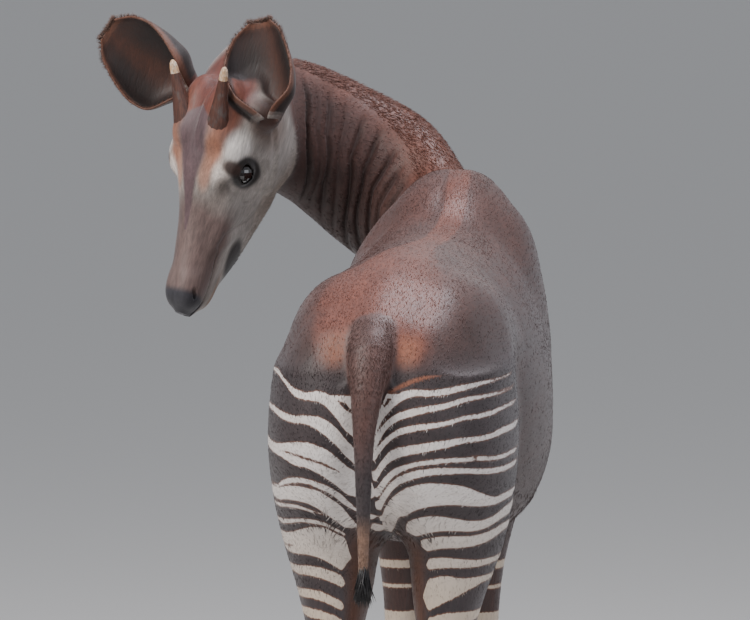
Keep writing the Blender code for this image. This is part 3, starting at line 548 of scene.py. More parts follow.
def face_cuts(points, value):
    """The sockets behind the eyes, the lids' openings, the nostrils and the line of the mouth."""
    own = to_head(points)
    both = np.column_stack((own[:, 0], own[:, 1], np.abs(own[:, 2])))
    value = value + face_lines(both)
    value = carved(value, np.linalg.norm(both - EYE, axis=1) - EYE_RADIUS - 0.0003, 0.001)
    value = carved(value, lids_opening(both), 0.003)
    turn = np.radians(NOSTRIL_TURN)
    q = both - NOSTRIL
    turned = np.column_stack((
        q[:, 0] * np.cos(turn) - q[:, 1] * np.sin(turn),
        q[:, 0] * np.sin(turn) + q[:, 1] * np.cos(turn),
        q[:, 2],
    ))
    value = carved(value, ellipsoid(turned, (0, 0, 0), NOSTRIL_SIZE), 0.003)
    at, level = np.transpose(MOUTH)
    line = own[:, 1] - np.interp(own[:, 0], at, level)
    open_share = np.clip((own[:, 0] - at[0]) / 0.02, 0, 1) * (own[:, 0] < at[-1])
    return value + MOUTH_DEPTH * open_share * np.exp(-((line / MOUTH_WIDTH) ** 2))


# Grooves and ridges of the face, as lines in the head's axes seen from the side: (ahead, level) points, width,
# and depth, which is negative for a ridge.
FACE_LINES = (
    (((0.372, -0.018), (0.349, -0.023), (0.324, -0.050), (0.301, -0.086), (0.278, -0.099), (0.240, -0.098)), 0.0070, 0.0030),
    (((0.360, -0.040), (0.336, -0.064), (0.314, -0.098), (0.285, -0.114)), 0.0090, -0.0022),
    (((0.099, -0.021), (0.134, -0.046), (0.172, -0.065), (0.209, -0.085)), 0.0080, 0.0028),
    (((0.110, -0.040), (0.145, -0.064), (0.184, -0.086), (0.222, -0.104)), 0.0080, -0.0018),
    (((0.186, -0.030), (0.209, -0.060), (0.239, -0.074), (0.262, -0.062), (0.272, -0.034)), 0.0045, 0.0024),
    (((0.180, -0.044), (0.206, -0.074), (0.240, -0.088), (0.270, -0.076), (0.284, -0.044)), 0.0045, 0.0016),
    (((0.190, 0.034), (0.182, 0.010), (0.184, -0.014)), 0.0040, 0.0016),
    (((0.250, 0.030), (0.262, 0.012), (0.262, -0.010)), 0.0040, 0.0014),
    (((0.286, 0.020), (0.330, 0.014), (0.380, 0.012), (0.430, 0.010)), 0.0100, 0.0016),
)


def face_lines(both):
    """How far the face's lines lower the skin, in metres."""
    lowered = np.zeros(len(both))
    for line, width, depth in FACE_LINES:
        line = np.array(line)
        nearest = np.full(len(both), 1.0)
        for start, end in zip(line[:-1], line[1:]):
            run = end - start
            t = np.clip((both[:, :2] - start) @ run / (run @ run), 0, 1)
            nearest = np.minimum(nearest, np.linalg.norm(both[:, :2] - start - np.outer(t, run), axis=1))
        lowered += depth * np.exp(-((nearest / width) ** 2))
    return lowered * ramp(both[:, 2], 0.012, 0.030)


CORONET = 0.050
CORONET_SLOPE = 0.42
FEET = {"fore": (0.081, -0.010, 0.446), "hind": (0.106, 0.000, -0.452)}


def skin_field(points):
    """The flesh drawn in by the coat's depth, with the face's openings, ending at the hooves."""
    value = flesh(points) + COAT_DEPTH
    near = np.linalg.norm(points - HEAD_MIDDLE, axis=1) < HEAD_REACH
    if near.any():
        value[near] = face_cuts(points[near], value[near])
    foot_y = np.where(points[:, 1] > 0, FEET["fore"][2], FEET["hind"][2])
    return np.maximum(value, CORONET + CORONET_SLOPE * (points[:, 1] - foot_y) - points[:, 2])


# The grid the skin is drawn from: along each axis, spans with a spacing of their own, finest over the head.
FINE = 0.0025
MIDDLE = 0.0042
COARSE = 0.0060
SPANS = (
    ((-0.730, FINE), (-0.070, MIDDLE), (0.290, None)),
    ((-0.690, MIDDLE), (-0.300, COARSE), (0.110, FINE), (0.710, MIDDLE), (0.850, None)),
    ((0.000, COARSE), (0.560, MIDDLE), (1.160, FINE), (1.840, None)),
)
BLOCK = 4
STEEPEST = 2.6


def ticks(spans):
    """Grid positions along one axis, a whole number of blocks."""
    made = [spans[0][0]]
    for (start, spacing), (end, _) in zip(spans[:-1], spans[1:]):
        count = round((end - start) / spacing)
        made.extend(np.linspace(start, end, count + 1)[1:])
    while (len(made) - 1) % BLOCK:
        made.append(made[-1] + made[-1] - made[-2])
    return np.array(made)


def in_chunks(field, points, size=300000):
    return np.concatenate([field(points[i:i + size]) for i in range(0, len(points), size)])


def sampled(field, axes):
    """The field over a grid, worked out in full only in the blocks that its surface may cross."""
    middles = [(axis[:-1:BLOCK] + axis[BLOCK::BLOCK]) / 2 for axis in axes]
    halves = [(axis[BLOCK::BLOCK] - axis[:-1:BLOCK]) / 2 for axis in axes]
    centre = np.stack(np.meshgrid(*middles, indexing="ij"), axis=-1)
    reach = np.linalg.norm(np.stack(np.meshgrid(*halves, indexing="ij"), axis=-1), axis=-1)
    at_centre = in_chunks(field, centre.reshape(-1, 3)).reshape(reach.shape)
    active = np.abs(at_centre) < STEEPEST * reach
    shape = tuple(len(axis) for axis in axes)
    values = np.empty(shape, np.float32)
    needed = np.zeros(shape, bool)
    spread = [np.minimum(np.arange(n) // BLOCK, n // BLOCK - 1) for n in shape]
    values[:] = at_centre[np.ix_(*spread)]
    for offset in ((i, j, k) for i in (0, 1) for j in (0, 1) for k in (0, 1)):
        shifted = [np.clip((np.arange(n) - step) // BLOCK, 0, n // BLOCK - 1) for n, step in zip(shape, offset)]
        needed |= active[np.ix_(*shifted)]
    where = np.nonzero(needed)
    points = np.column_stack([axis[index] for axis, index in zip(axes, where)])
    values[where] = in_chunks(field, points)
    return values


def surface_net(field, axes):
    """Points and four-sided faces of the field's zero surface, facing out."""
    values = sampled(field, axes)
    inside = values < 0
    corners = [(i, j, k) for i in (0, 1) for j in (0, 1) for k in (0, 1)]
    shape = np.array(values.shape) - 1

    def corner(array, at):
        return array[at[0]:shape[0] + at[0], at[1]:shape[1] + at[1], at[2]:shape[2] + at[2]]

    count = np.zeros(tuple(shape), np.int8)
    for at in corners:
        count += corner(inside, at)
    cells = np.argwhere((count > 0) & (count < 8))
    index = np.full(tuple(shape), -1, np.int32)
    index[tuple(cells.T)] = np.arange(len(cells))
    total, crossings = np.zeros((len(cells), 3)), np.zeros(len(cells))
    for a in corners:
        for axis in range(3):
            if a[axis]:
                continue
            b = tuple(1 if i == axis else a[i] for i in range(3))
            va, vb = (values[tuple((cells + at).T)] for at in (a, b))
            crosses = (va < 0) != (vb < 0)
            t = np.where(crosses, va / np.where(crosses, va - vb, 1), 0)[:, None]
            pa, pb = (np.column_stack([axes[i][(cells + at)[:, i]] for i in range(3)]) for at in (a, b))
            total += np.where(crosses[:, None], pa + t * (pb - pa), 0)
            crossings += crosses
    faces = []
    for axis in range(3):
        step = np.eye(3, dtype=int)[axis]
        side, top = np.eye(3, dtype=int)[(axis + 1) % 3], np.eye(3, dtype=int)[(axis + 2) % 3]
        here = inside[tuple(slice(0, n - s) for n, s in zip(inside.shape, step))]
        there = inside[tuple(slice(s, n) for n, s in zip(inside.shape, step))]
        edges = np.argwhere(here != there)
        edges = edges[(edges @ side > 0) & (edges @ top > 0)]
        edges = edges[(edges @ side < shape @ side) & (edges @ top < shape @ top)]
        ring = [index[tuple((edges - offset).T)] for offset in (side + top, top, 0 * top, side)]
        quads = np.stack(ring, axis=1)
        leaving = here[tuple(edges.T)]
        faces.append(np.where(leaving[:, None], quads, quads[:, ::-1]))
    return total / crossings[:, None], np.concatenate(faces)


def slope_of(field, points, step=0.0006):
    """The field's gradient, by differences."""
    sides = []
    for axis in range(3):
        shift = np.eye(3)[axis] * step
        sides.append((in_chunks(field, points + shift) - in_chunks(field, points - shift)) / (2 * step))
    return np.column_stack(sides)


def settled(field, points, furthest=0.0015):
    """Points drawn on to the field's surface, and the surface's normals there."""
    slope = slope_of(field, points)
    size = np.maximum(np.linalg.norm(slope, axis=1), 0.3)
    move = np.clip(in_chunks(field, points) / size, -furthest, furthest)
    normals = slope / size[:, None]
    return points - normals * move[:, None], normals


def mesh_object(name, points, faces):
    """A smooth mesh given in the body's frame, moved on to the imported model."""
    mesh = bpy.data.meshes.new(name)
    points = np.asarray(points, float) + SHIFT
    faces = np.asarray(faces)
    mesh.vertices.add(len(points))
    mesh.vertices.foreach_set("co", points.astype(np.float32).ravel())
    mesh.loops.add(faces.size)
    mesh.loops.foreach_set("vertex_index", faces.ravel().astype(np.int32))
    mesh.polygons.add(len(faces))
    mesh.polygons.foreach_set("loop_start", np.arange(0, faces.size, faces.shape[1], dtype=np.int32))
    mesh.update(calc_edges=True)
    mesh.validate()
    mesh.shade_smooth()
    thing = bpy.data.objects.new(name, mesh)
    bpy.context.scene.collection.objects.link(thing)
    return thing


def put(thing, name, values):
    """Stores one number or one colour for each point of a mesh."""
    values = np.asarray(values, np.float32)
    if values.ndim == 1:
        layer = thing.data.attributes.new(name, "FLOAT", "POINT")
        layer.data.foreach_set("value", values)
    else:
        layer = thing.data.attributes.new(name, "FLOAT_COLOR", "POINT")
        layer.data.foreach_set("color", np.column_stack((values, np.ones(len(values)))).astype(np.float32).ravel())


def mixed(a, b, share):
    return np.asarray(a) * (1 - share[:, None]) + np.asarray(b) * share[:, None]


NEARLY_BLACK = (0.012, 0.007, 0.006)
STRIPE_DARK = (0.030, 0.020, 0.021)
WHITE = (0.640, 0.590, 0.560)
CREAM = (0.480, 0.390, 0.300)


# The white bands of the haunches, in millimetres: girth from the middle plane round the thigh, top, bottom.
RIGHT_BANDS = (
    ((18, 1124, 1108), (26, 1140, 1128), (34, 1156, 1147)),
    ((8, 1096, 1070), (22, 1122, 1101), (34, 1135, 1117), (50, 1152, 1134), (80, 1164, 1151), (115, 1163, 1152),
     (150, 1167, 1155), (180, 1172, 1162), (205, 1174, 1168)),
    ((8, 1068, 1045), (22, 1091, 1071), (34, 1105, 1089), (50, 1117, 1102), (80, 1128, 1114), (115, 1134, 1123),
     (150, 1140, 1130), (180, 1148, 1139), (205, 1149, 1143), (222, 1149, 1144)),
    ((8, 1043, 1026), (22, 1062, 1047), (34, 1074, 1061), (50, 1086, 1074), (80, 1097, 1085), (115, 1101, 1091),
     (150, 1106, 1098), (180, 1113, 1106), (205, 1115, 1107), (222, 1118, 1110), (232, 1121, 1115)),
    ((8, 1007, 985), (22, 1027, 1008), (34, 1042, 1022), (50, 1052, 1032), (80, 1059, 1042), (115, 1065, 1049),
     (150, 1070, 1056), (180, 1073, 1063), (205, 1073, 1064), (222, 1076, 1066), (232, 1081, 1069)),
    ((8, 972, 952), (22, 990, 972), (34, 1003, 987), (50, 1014, 1001), (80, 1025, 1016), (115, 1032, 1023),
     (150, 1035, 1026), (180, 1035, 1027), (205, 1035, 1026), (222, 1030, 1023), (232, 1030, 1022)),
    ((8, 946, 924), (22, 965, 946), (34, 980, 962), (50, 994, 978), (80, 1008, 993), (115, 1015, 1002),
     (150, 1016, 1004), (180, 1014, 1004), (205, 1010, 1000), (222, 1007, 997), (232, 1006, 996)),
    ((8, 914, 872), (22, 935, 886), (34, 950, 896), (50, 964, 910), (80, 980, 930), (115, 986, 940),
     (150, 983, 942), (180, 976, 939), (205, 960, 935), (222, 949, 935), (232, 952, 939)),
    ((8, 858, 815), (22, 876, 832), (34, 887, 846), (50, 899, 864), (80, 914, 879), (115, 920, 888),
     (150, 915, 889), (180, 908, 887), (205, 908, 892), (222, 917, 902), (232, 928, 909)),
    ((34, 834, 806), (50, 851, 824), (80, 868, 843), (115, 877, 853), (150, 878, 855), (180, 878, 858),
     (205, 883, 866), (222, 891, 878)),
    ((34, 792, 772), (50, 807, 789), (80, 828, 808), (115, 835, 815), (150, 832, 815), (180, 828, 815),
     (205, 828, 818)),
    ((50, 778, 718), (80, 790, 730), (115, 799, 748), (150, 794, 766), (180, 794, 781)),
    ((40, 700, 660), (80, 716, 676), (115, 727, 690), (150, 728, 704), (175, 726, 712)),
    ((40, 640, 622), (80, 652, 630), (115, 664, 640), (150, 672, 652)),
    ((50, 606, 588), (80, 612, 592), (115, 622, 600), (150, 632, 612)),
)
LEFT_BANDS = (
    ((24, 1142, 1110), (32, 1149, 1122), (45, 1152, 1139)),
    ((15, 1098, 1050), (30, 1115, 1073), (45, 1126, 1087), (60, 1141, 1108), (75, 1152, 1125), (95, 1159, 1139),
     (120, 1156, 1142), (145, 1161, 1148), (170, 1176, 1168), (190, 1190, 1181)),
    ((15, 1034, 1000), (30, 1052, 1020), (45, 1070, 1036), (60, 1089, 1056), (75, 1102, 1070), (95, 1111, 1086),
     (120, 1113, 1097), (145, 1111, 1098), (170, 1115, 1102), (195, 1122, 1111)),
    ((15, 990, 945), (30, 1005, 954), (45, 1017, 959), (60, 1033, 975), (75, 1046, 988), (95, 1056, 1002),
     (120, 1062, 1013), (145, 1061, 1017), (170, 1056, 1028), (190, 1054, 1033), (215, 1058, 1040)),
    ((15, 918, 904), (30, 929, 916), (45, 948, 930), (60, 964, 948), (75, 975, 962), (95, 984, 972),
     (120, 991, 981), (145, 992, 982), (170, 985, 975), (190, 971, 967)),
    ((30, 904, 866), (45, 918, 872), (60, 939, 891), (75, 952, 909), (95, 966, 927), (120, 973, 941),
     (145, 975, 945), (170, 971, 945), (190, 965, 941), (208, 965, 944)),
    ((88, 920, 919), (100, 924, 922), (120, 930, 926), (145, 936, 930), (170, 936, 930), (190, 934, 927)),
    ((45, 864, 861), (60, 876, 870), (75, 890, 883), (95, 904, 896), (120, 909, 901), (145, 909, 902),
     (170, 905, 897), (190, 902, 893)),
    ((30, 838, 766), (45, 852, 772), (60, 865, 785), (75, 877, 799), (95, 891, 815), (120, 894, 830),
     (145, 888, 836), (170, 879, 836), (190, 875, 838), (208, 876, 848)),
    ((45, 764, 740), (60, 779, 759), (75, 790, 768), (95, 802, 780), (120, 811, 790), (145, 814, 795),
     (170, 812, 795)),
    ((45, 718, 706), (60, 731, 719), (75, 740, 725), (95, 752, 735), (120, 764, 746), (145, 768, 751),
     (170, 766, 750)),
    ((40, 686, 664), (70, 704, 684), (95, 718, 700), (120, 727, 711), (145, 731, 713)),
    ((40, 640, 618), (80, 660, 634), (115, 676, 648), (150, 690, 664)),
    ((50, 602, 584), (80, 612, 590), (115, 622, 600), (150, 630, 612)),
)
# Dark slivers inside broad white bands of the left haunch, laid out in the same way.
LEFT_SLIVERS = (
    ((56, 1006, 1004), (75, 1018, 1013), (95, 1027, 1022), (120, 1034, 1029), (145, 1040, 1035), (172, 1043, 1041)),
    ((172, 851, 850), (182, 852, 848), (192, 851, 847), (204, 852, 848)),
)
BACK_OF_THIGH = -0.36
BAND_TAPER = 0.10
BAND_RISE = 0.10
BAND_START = 0.5


def girth_of(points):
    """How far round the thigh from the middle plane: outwards behind it, then forwards along its side."""
    straight = straightened(points)
    return np.abs(straight[:, 0]) + np.maximum(straight[:, 1] - BACK_OF_THIGH, 0)


def inside_band(girth, height, rows):
    """Metres inside one band, negative outside it. It runs out to a point past its last girth."""
    rows = np.array(rows) / 1000
    at, edges = faired(rows)
    top, bottom = (np.interp(girth, at, column) for column in edges.T)
    past, short = np.maximum(girth - at[-1], 0), np.maximum(at[0] - girth, 0)
    middle = (top + bottom) / 2 + BAND_RISE * past
    return (top - bottom) / 2 - BAND_TAPER * past - BAND_START * short - np.abs(height - middle)


def nearest_band(girth, height, bands):
    return np.max([inside_band(girth, height, rows) for rows in bands], axis=0)


FLANK_END = -0.16
# A small old scar that cuts two bands of the right haunch: girth, height, half width, half height.
SCAR = (0.197, 1.034, 0.0020, 0.0150)
# Rings round the upper foreleg and marks down the cannons: heights of their edges.
FORE_RINGS = ((0.712, 0.696), (0.662, 0.655))
FORE_STOCKING = 0.606
HIND_STOCKING = 0.560
HOCK_BAND = (0.505, 0.532)
FETLOCK_BAND = (0.118, 0.158)
CORONET_BAND = 0.064


def haunch_bands(points):
    """Metres inside the nearest white band of the haunch, negative between the bands."""
    girth, height = girth_of(points), points[:, 2]
    right = nearest_band(girth, height, RIGHT_BANDS)
    at, level, wide, tall = SCAR
    right = np.minimum(right, oval(girth - at, height - level, wide, tall))
    left = np.minimum(nearest_band(girth, height, LEFT_BANDS), -nearest_band(girth, height, LEFT_SLIVERS))
    straight = straightened(points)
    inside = np.where(straight[:, 0] > 0, right, left)
    return np.minimum(inside, FLANK_END - straight[:, 1])


def leg_bands(points):
    """Metres inside the pale rings and stockings of the lower legs."""
    y, z = points[:, 1], points[:, 2]
    fore = np.maximum.reduce([(top - bottom) / 2 - np.abs(z - (top + bottom) / 2) for top, bottom in FORE_RINGS])
    fore = np.maximum(fore, FORE_STOCKING - z)
    low, high = HOCK_BAND
    hind = np.minimum(HIND_STOCKING - z, np.maximum(low - z, z - high))
    inside = np.where(y > 0, fore, hind)
    low, high = FETLOCK_BAND
    inside = np.minimum(inside, np.maximum(low - z, z - high))
    return np.minimum(inside, z - CORONET_BAND)


# The spine seen from above, and how wide the chestnut is beside it: y, x, half width.
SPINE = (
    (-0.600, -0.017, 0.105),
    (-0.450, -0.017, 0.120),
    (-0.340, -0.014, 0.105),
    (-0.220, -0.004, 0.065),
    (-0.100, 0.010, 0.034),
    (0.050, 0.024, 0.023),
    (0.300, 0.036, 0.022),
    (0.500, 0.022, 0.022),
    (0.620, 0.000, 0.028),
    (0.700, -0.020, 0.040),
)
# Patches on the face, painted one over the other, in the head's axes: middle (ahead, level, aside), radii,
# softness of the edge, strength, colour.
FACE_PATCHES = (
    # The first patch, darker and browner towards the throat, is painted shade under the head.
    ((0.230, -0.150, 0.040), (0.120, 0.045, 0.060), 0.60, 0.8, (0.180, 0.130, 0.095)),
    ((0.110, -0.020, 0.088), (0.045, 0.050, 0.030), 0.50, 0.7, (0.110, 0.070, 0.052)),
    ((0.098, 0.016, 0.112), (0.042, 0.046, 0.042), 0.35, 1.0, (0.040, 0.017, 0.012)),
    ((0.040, 0.075, 0.000), (0.125, 0.075, 0.092), 0.22, 1.0, (0.105, 0.027, 0.017)),
    ((0.125, 0.086, 0.052), (0.062, 0.040, 0.032), 0.40, 0.9, (0.160, 0.048, 0.025)),
    ((0.195, 0.086, 0.046), (0.060, 0.026, 0.020), 0.50, 0.9, (0.230, 0.090, 0.050)),
    ((0.246, 0.074, 0.032), (0.042, 0.020, 0.013), 0.50, 0.8, (0.300, 0.150, 0.100)),
    ((0.178, 0.050, 0.084), (0.034, 0.030, 0.030), 0.45, 1.0, (0.540, 0.500, 0.465)),
    ((0.244, 0.060, 0.060), (0.040, 0.016, 0.016), 0.50, 0.9, (0.500, 0.440, 0.400)),
    ((0.288, 0.030, 0.056), (0.034, 0.020, 0.020), 0.60, 0.6, (0.200, 0.165, 0.145)),
    ((0.262, 0.040, 0.064), (0.022, 0.018, 0.016), 0.60, 0.7, (0.060, 0.045, 0.038)),
    ((0.218, 0.002, 0.084), (0.034, 0.050, 0.040), 0.16, 1.0, (0.008, 0.006, 0.005)),
    ((0.222, 0.052, 0.080), (0.014, 0.026, 0.016), 0.40, 0.9, (0.030, 0.012, 0.008)),
)
# How wide the bare-looking dark crest between the horns is, down to its point on the nose: ahead, half width.
CREST = ((0.110, 0.0), (0.135, 0.030), (0.165, 0.035), (0.210, 0.029), (0.250, 0.018), (0.285, 0.011), (0.360, 0.002))
CREST_COLOUR = (0.085, 0.050, 0.054)
MUZZLE = (0.115, 0.076, 0.068)
MUZZLE_FROM = (0.275, 0.335)
NOSE_PAD = (0.026, 0.025, 0.031)
NOSE_PAD_FROM = (0.470, 0.486)
LIP = (0.200, 0.105, 0.060)
JAW_PATCH = ((0.378, -0.086, 0.000), (0.048, 0.030, 0.075))
CHEEK = (0.250, 0.225, 0.205)


def patch(points, middle, radii, softness):
    size = np.linalg.norm((points - np.asarray(middle)) / np.asarray(radii), axis=1)
    return 1 - ramp(size, 1 - softness, 1 + softness)


def face_colour(points):
    own = to_head(points)
    ahead, level, aside = own[:, 0], own[:, 1], np.abs(own[:, 2])
    both = np.column_stack((ahead, level, aside))
    colour = np.tile(CHEEK, (len(points), 1))
    snout = ramp(ahead + 0.25 * level, *MUZZLE_FROM) * ramp(level, -0.055, -0.020)
    colour = mixed(colour, MUZZLE, snout)
    for middle, radii, softness, strength, tint in FACE_PATCHES:
        colour = mixed(colour, tint, strength * patch(both, middle, radii, softness))
    at, width = np.transpose(CREST)
    width = np.interp(ahead, at, width, left=0, right=0)
    crest = (1 - ramp(aside, 0.75 * width, 1.25 * width + 0.001)) * (width > 0) * ramp(level, 0.0, 0.03)
    colour = mixed(colour, CREST_COLOUR, crest)
    colour = mixed(colour, NEARLY_BLACK, patch(both, *JAW_PATCH, 0.22))
    colour = mixed(colour, LIP, ramp(ahead, 0.40, 0.47) * (1 - ramp(level, -0.060, -0.052)) * ramp(level, -0.075, -0.062))
    pad = ramp(ahead - 0.35 * np.maximum(-0.01 - level, 0), *NOSE_PAD_FROM) * ramp(level, -0.046, -0.036)
    return mixed(colour, NOSE_PAD, pad)


# The coat's shades elsewhere.
FLANK_DARK = (0.034, 0.0145, 0.0115)
BACK_CHESTNUT = (0.115, 0.034, 0.020)
NECK_BROWN = (0.070, 0.030, 0.023)
NECK_CREST = (0.110, 0.038, 0.024)
RUMP_ORANGE = (0.235, 0.080, 0.040)
INNER_THIGH = (0.075, 0.032, 0.020)
EAR_BACK = (0.030, 0.012, 0.009)
EAR_INSIDE = (0.0080, 0.0028, 0.0022)
EAR_STREAK = (0.040, 0.012, 0.006)
EAR_FRINGE = (0.105, 0.038, 0.020)
TAIL_BROWN = (0.070, 0.030, 0.024)
TAIL_TAN = (0.200, 0.110, 0.070)
# Orange beside the tail's root, about the swung middle: offset, y, z and radii.
TAIL_FLARE = ((0.070, -0.575, 1.236), (0.022, 0.050, 0.026))
TAN_LINE = ((40, 1162, 1158), (60, 1173, 1167), (80, 1182, 1176), (105, 1189, 1185))


def ear_colours(points, normals, colour, gloss):
    """Paints the ears: dark backs, nearly black hollows with a brown streak, and a tawny rim."""
    for side in SIDES:
        tree, low, high = EAR_TREES[side]
        near = np.nonzero(np.all((points > low - 0.01) & (points < high + 0.01), axis=1))[0]
        found = [tree.find_nearest(point) for point in points[near].tolist()]
        distance = np.array([hit[3] for hit in found])
        ring, strip = np.divmod(np.array([hit[2] for hit in found]), EAR_STRIPS - 1)
        along, across = ring / (EAR_RINGS - 2), strip / (EAR_STRIPS - 2) * 2 - 1
        facing = unit(EARS[side][2])
        hollow = ramp(normals[near] @ facing, -0.25, 0.15)
        inside = mixed(np.tile(EAR_INSIDE, (len(near), 1)), EAR_STREAK, np.exp(-(((across + 0.15) / 0.22) ** 2)))
        inside = mixed(inside, EAR_STREAK, 0.5 * ramp(along, 0.6, 1.0))
        paint = mixed(np.tile(EAR_BACK, (len(near), 1)), inside, hollow)
        rim = np.maximum(ramp(np.abs(across), 0.86, 0.98), ramp(along, 0.93, 1.0))
        paint = mixed(paint, EAR_FRINGE, 0.8 * rim)
        share = (1 - ramp(distance, EAR_SHEET / 2 + 0.004, EAR_SHEET / 2 + 0.012)) * ramp(along, 0.0, 0.05)
        colour[near] = colour[near] * (1 - share[:, None]) + paint * share[:, None]
        gloss[near] *= 1 - share
    return colour, gloss


def markings(points, normals):
    """The coat's colour, the colour of its pale bands, how far inside one each point lies, and its gloss."""
    x, y, z = points.T
    straight = straightened(points)
    outward = normals[:, 0] * np.sign(straight[:, 0])
    at, spine, width = np.transpose(SPINE)
    beside = np.abs(x - np.interp(y, at, spine))
    width = np.interp(y, at, width)
    colour = np.tile(FLANK_DARK, (len(points), 1))
    # Coat that faces upwards on the back is mixed towards chestnut: partly the back's own colour, partly painted
    # light from above.
    upward_chestnut_and_light = ramp(normals[:, 2], 0.0, 0.8) * ramp(z, 1.15, 1.35)
    colour = mixed(colour, BACK_CHESTNUT, 0.35 * upward_chestnut_and_light)
    colour = mixed(colour, BACK_CHESTNUT, (1 - ramp(beside, 0.8 * width, 1.15 * width)) * ramp(z, 1.17, 1.25))
    haunch = ramp(-y, 0.12, 0.26) * (1 - ramp(z, 1.17, 1.25))
    colour = mixed(colour, STRIPE_DARK, haunch)
    both = np.column_stack((np.abs(straight[:, 0]), y, z))
    colour = mixed(colour, RUMP_ORANGE, 0.6 * patch(both, *TAIL_FLARE, 0.8))
    line = inside_band(girth_of(points), z, TAN_LINE)
    colour = mixed(colour, RUMP_ORANGE, ramp(line, -0.003, 0.001) * (straight[:, 0] > 0) * (y < -0.3) * 0.8)
    inner = ramp(-outward, 0.45, 0.85) * ramp(-y, 0.15, 0.25) * (1 - ramp(z, 0.88, 1.00)) * ramp(z, 0.55, 0.66)
    colour = mixed(colour, INNER_THIGH, inner)
    gloss = np.maximum(upward_chestnut_and_light, ramp(outward, 0.4, 0.9)) * ramp(z, 0.8, 1.1) * (1 - 0.6 * haunch)

    distance, share, across, upward = along_neck(points)
    skull_distance = skull(points)
    neck = ramp(y + 0.6 * (z - 1.3), 0.50, 0.62) * ramp(z, 1.15, 1.30) * (distance < 0.05)
    brown = mixed(np.tile(FLANK_DARK, (len(points), 1)), NECK_BROWN, ramp(upward, -0.10, 0.03))
    brown = mixed(brown, NECK_CREST, ramp(upward, 0.06, 0.12))
    colour = mixed(colour, brown, neck)
    # Painted shade: the neck's coat is darkened in the bottoms of its folds.
    fold_shade = neck_folds(share, across, upward)
    colour = colour * (1 - 0.65 * np.clip(fold_shade, 0, 1) * neck)[:, None]

    tail_share = (1 - ramp(tail(points), 0.002, 0.010)) * (y < -0.5)
    tone = mixed(np.tile(TAIL_BROWN, (len(points), 1)), STRIPE_DARK, 1 - ramp(z, 0.98, 1.12))
    tone = mixed(tone, TAIL_TAN, (1 - ramp(z, 0.88, 0.94)) * 0.8)
    colour = mixed(colour, tone, tail_share)

    head = ramp(distance - skull_distance, 0.002, 0.010) * (skull_distance < 0.05)
    colour = mixed(colour, face_colour(points), head)
    gloss = gloss * (1 - 0.7 * head)
    colour, gloss = ear_colours(points, normals, colour, gloss)

    thigh = ramp(-y, 0.05, 0.12) * (z > 0.56) * (z < 1.25)
    band = np.where(thigh > 0.5, haunch_bands(points), -0.05)
    band = np.where(z < 0.75, np.where((y > 0.2) | (z < HIND_STOCKING + 0.01), leg_bands(points), band), band)
    band = np.where(tail_share > 0.5, -0.05, band)
    band -= 0.05 * inner
    pale = mixed(np.tile(CREAM, (len(points), 1)), WHITE, ramp(z, 0.70, 1.0))
    stripe = (y > 0.2) * ramp(normals[:, 1], 0.45, 0.75) * (z < 0.53) * (z > 0.15)
    pale = mixed(pale, STRIPE_DARK, stripe)
    return colour, pale, band, gloss


def hair_lie(points):
    """Coordinates whose third axis runs along the hair: back along the trunk, down the legs, down the face."""
    own = to_head(points)
    trunk = points[:, [0, 2, 1]] + np.outer(points[:, 2], (0, 0, -0.5))
    limb = points.copy()
    face = own[:, [1, 2, 0]] + 3.0
    low = 1 - ramp(points[:, 2], 0.78, 0.98)
    lie = trunk * (1 - low[:, None]) + limb * low[:, None]
    head = (skull(points) < along_neck(points)[0]) & (points[:, 2] > 1.1)
    return np.where(head[:, None], face, lie)


def build_skin():
    axes = [ticks(spans) for spans in SPANS]
    points, faces = surface_net(skin_field, axes)
    points, normals = settled(skin_field, points)
    skin = mesh_object("skin", points, faces)
    looks = markings(points, normals)
    for name, values in zip(("coat", "pale", "band", "gloss"), looks):
        put(skin, name, values)
    layer = skin.data.attributes.new("lie", "FLOAT_VECTOR", "POINT")
    layer.data.foreach_set("vector", hair_lie(points).astype(np.float32).ravel())
    return skin, points, normals, looks


def shader_tree(name):
    material = bpy.data.materials.new(name)
    material.use_nodes = True
    return material, material.node_tree, material.node_tree.nodes["Principled BSDF"]


def link(tree, source, target):
    tree.links.new(source, target)


def attribute(tree, name, output):
    node = tree.nodes.new("ShaderNodeAttribute")
    node.attribute_name = name
    return node.outputs[output]


def number(tree, operation, first, second=0.0, clamp=False):
    """One step of arithmetic between sockets or plain numbers."""
    node = tree.nodes.new("ShaderNodeMath")
    node.operation = operation
    node.use_clamp = clamp
    for socket, value in zip(node.inputs, (first, second)):
        if isinstance(value, (int, float)):
            socket.default_value = value
        else:
            link(tree, value, socket)
    return node.outputs[0]


def spread(tree, value, low, high, to_low=0.0, to_high=1.0):
    node = tree.nodes.new("ShaderNodeMapRange")
    for name, amount in (("From Min", low), ("From Max", high), ("To Min", to_low), ("To Max", to_high)):
        node.inputs[name].default_value = amount
    link(tree, value, node.inputs["Value"])
    return node.outputs[0]


def speckle(tree, where, scales, detail=2.0, rough=0.55):
    """Noise whose grains are drawn out along an axis: grains per metre along each."""
    stretch = tree.nodes.new("ShaderNodeVectorMath")
    stretch.operation = "MULTIPLY"
    stretch.inputs[1].default_value = scales
    link(tree, where, stretch.inputs[0])
    noise = tree.nodes.new("ShaderNodeTexNoise")
    noise.inputs["Scale"].default_value = 1.0
    noise.inputs["Detail"].default_value = detail
    noise.inputs["Roughness"].default_value = rough
    link(tree, stretch.outputs[0], noise.inputs["Vector"])
    return noise.outputs["Fac"]


def tinted(tree, share, first, second, kind="MIX"):
    node = tree.nodes.new("ShaderNodeMix")
    node.data_type = "RGBA"
    node.blend_type = kind
    for name, value in (("Factor", share), ("A", first), ("B", second)):
        sockets = [socket for socket in node.inputs if socket.name == name and socket.enabled]
        if isinstance(value, float):
            sockets[0].default_value = value
        elif isinstance(value, tuple):
            sockets[0].default_value = (*value, 1)
        else:
            link(tree, value, sockets[0])
    return next(socket for socket in node.outputs if socket.enabled)


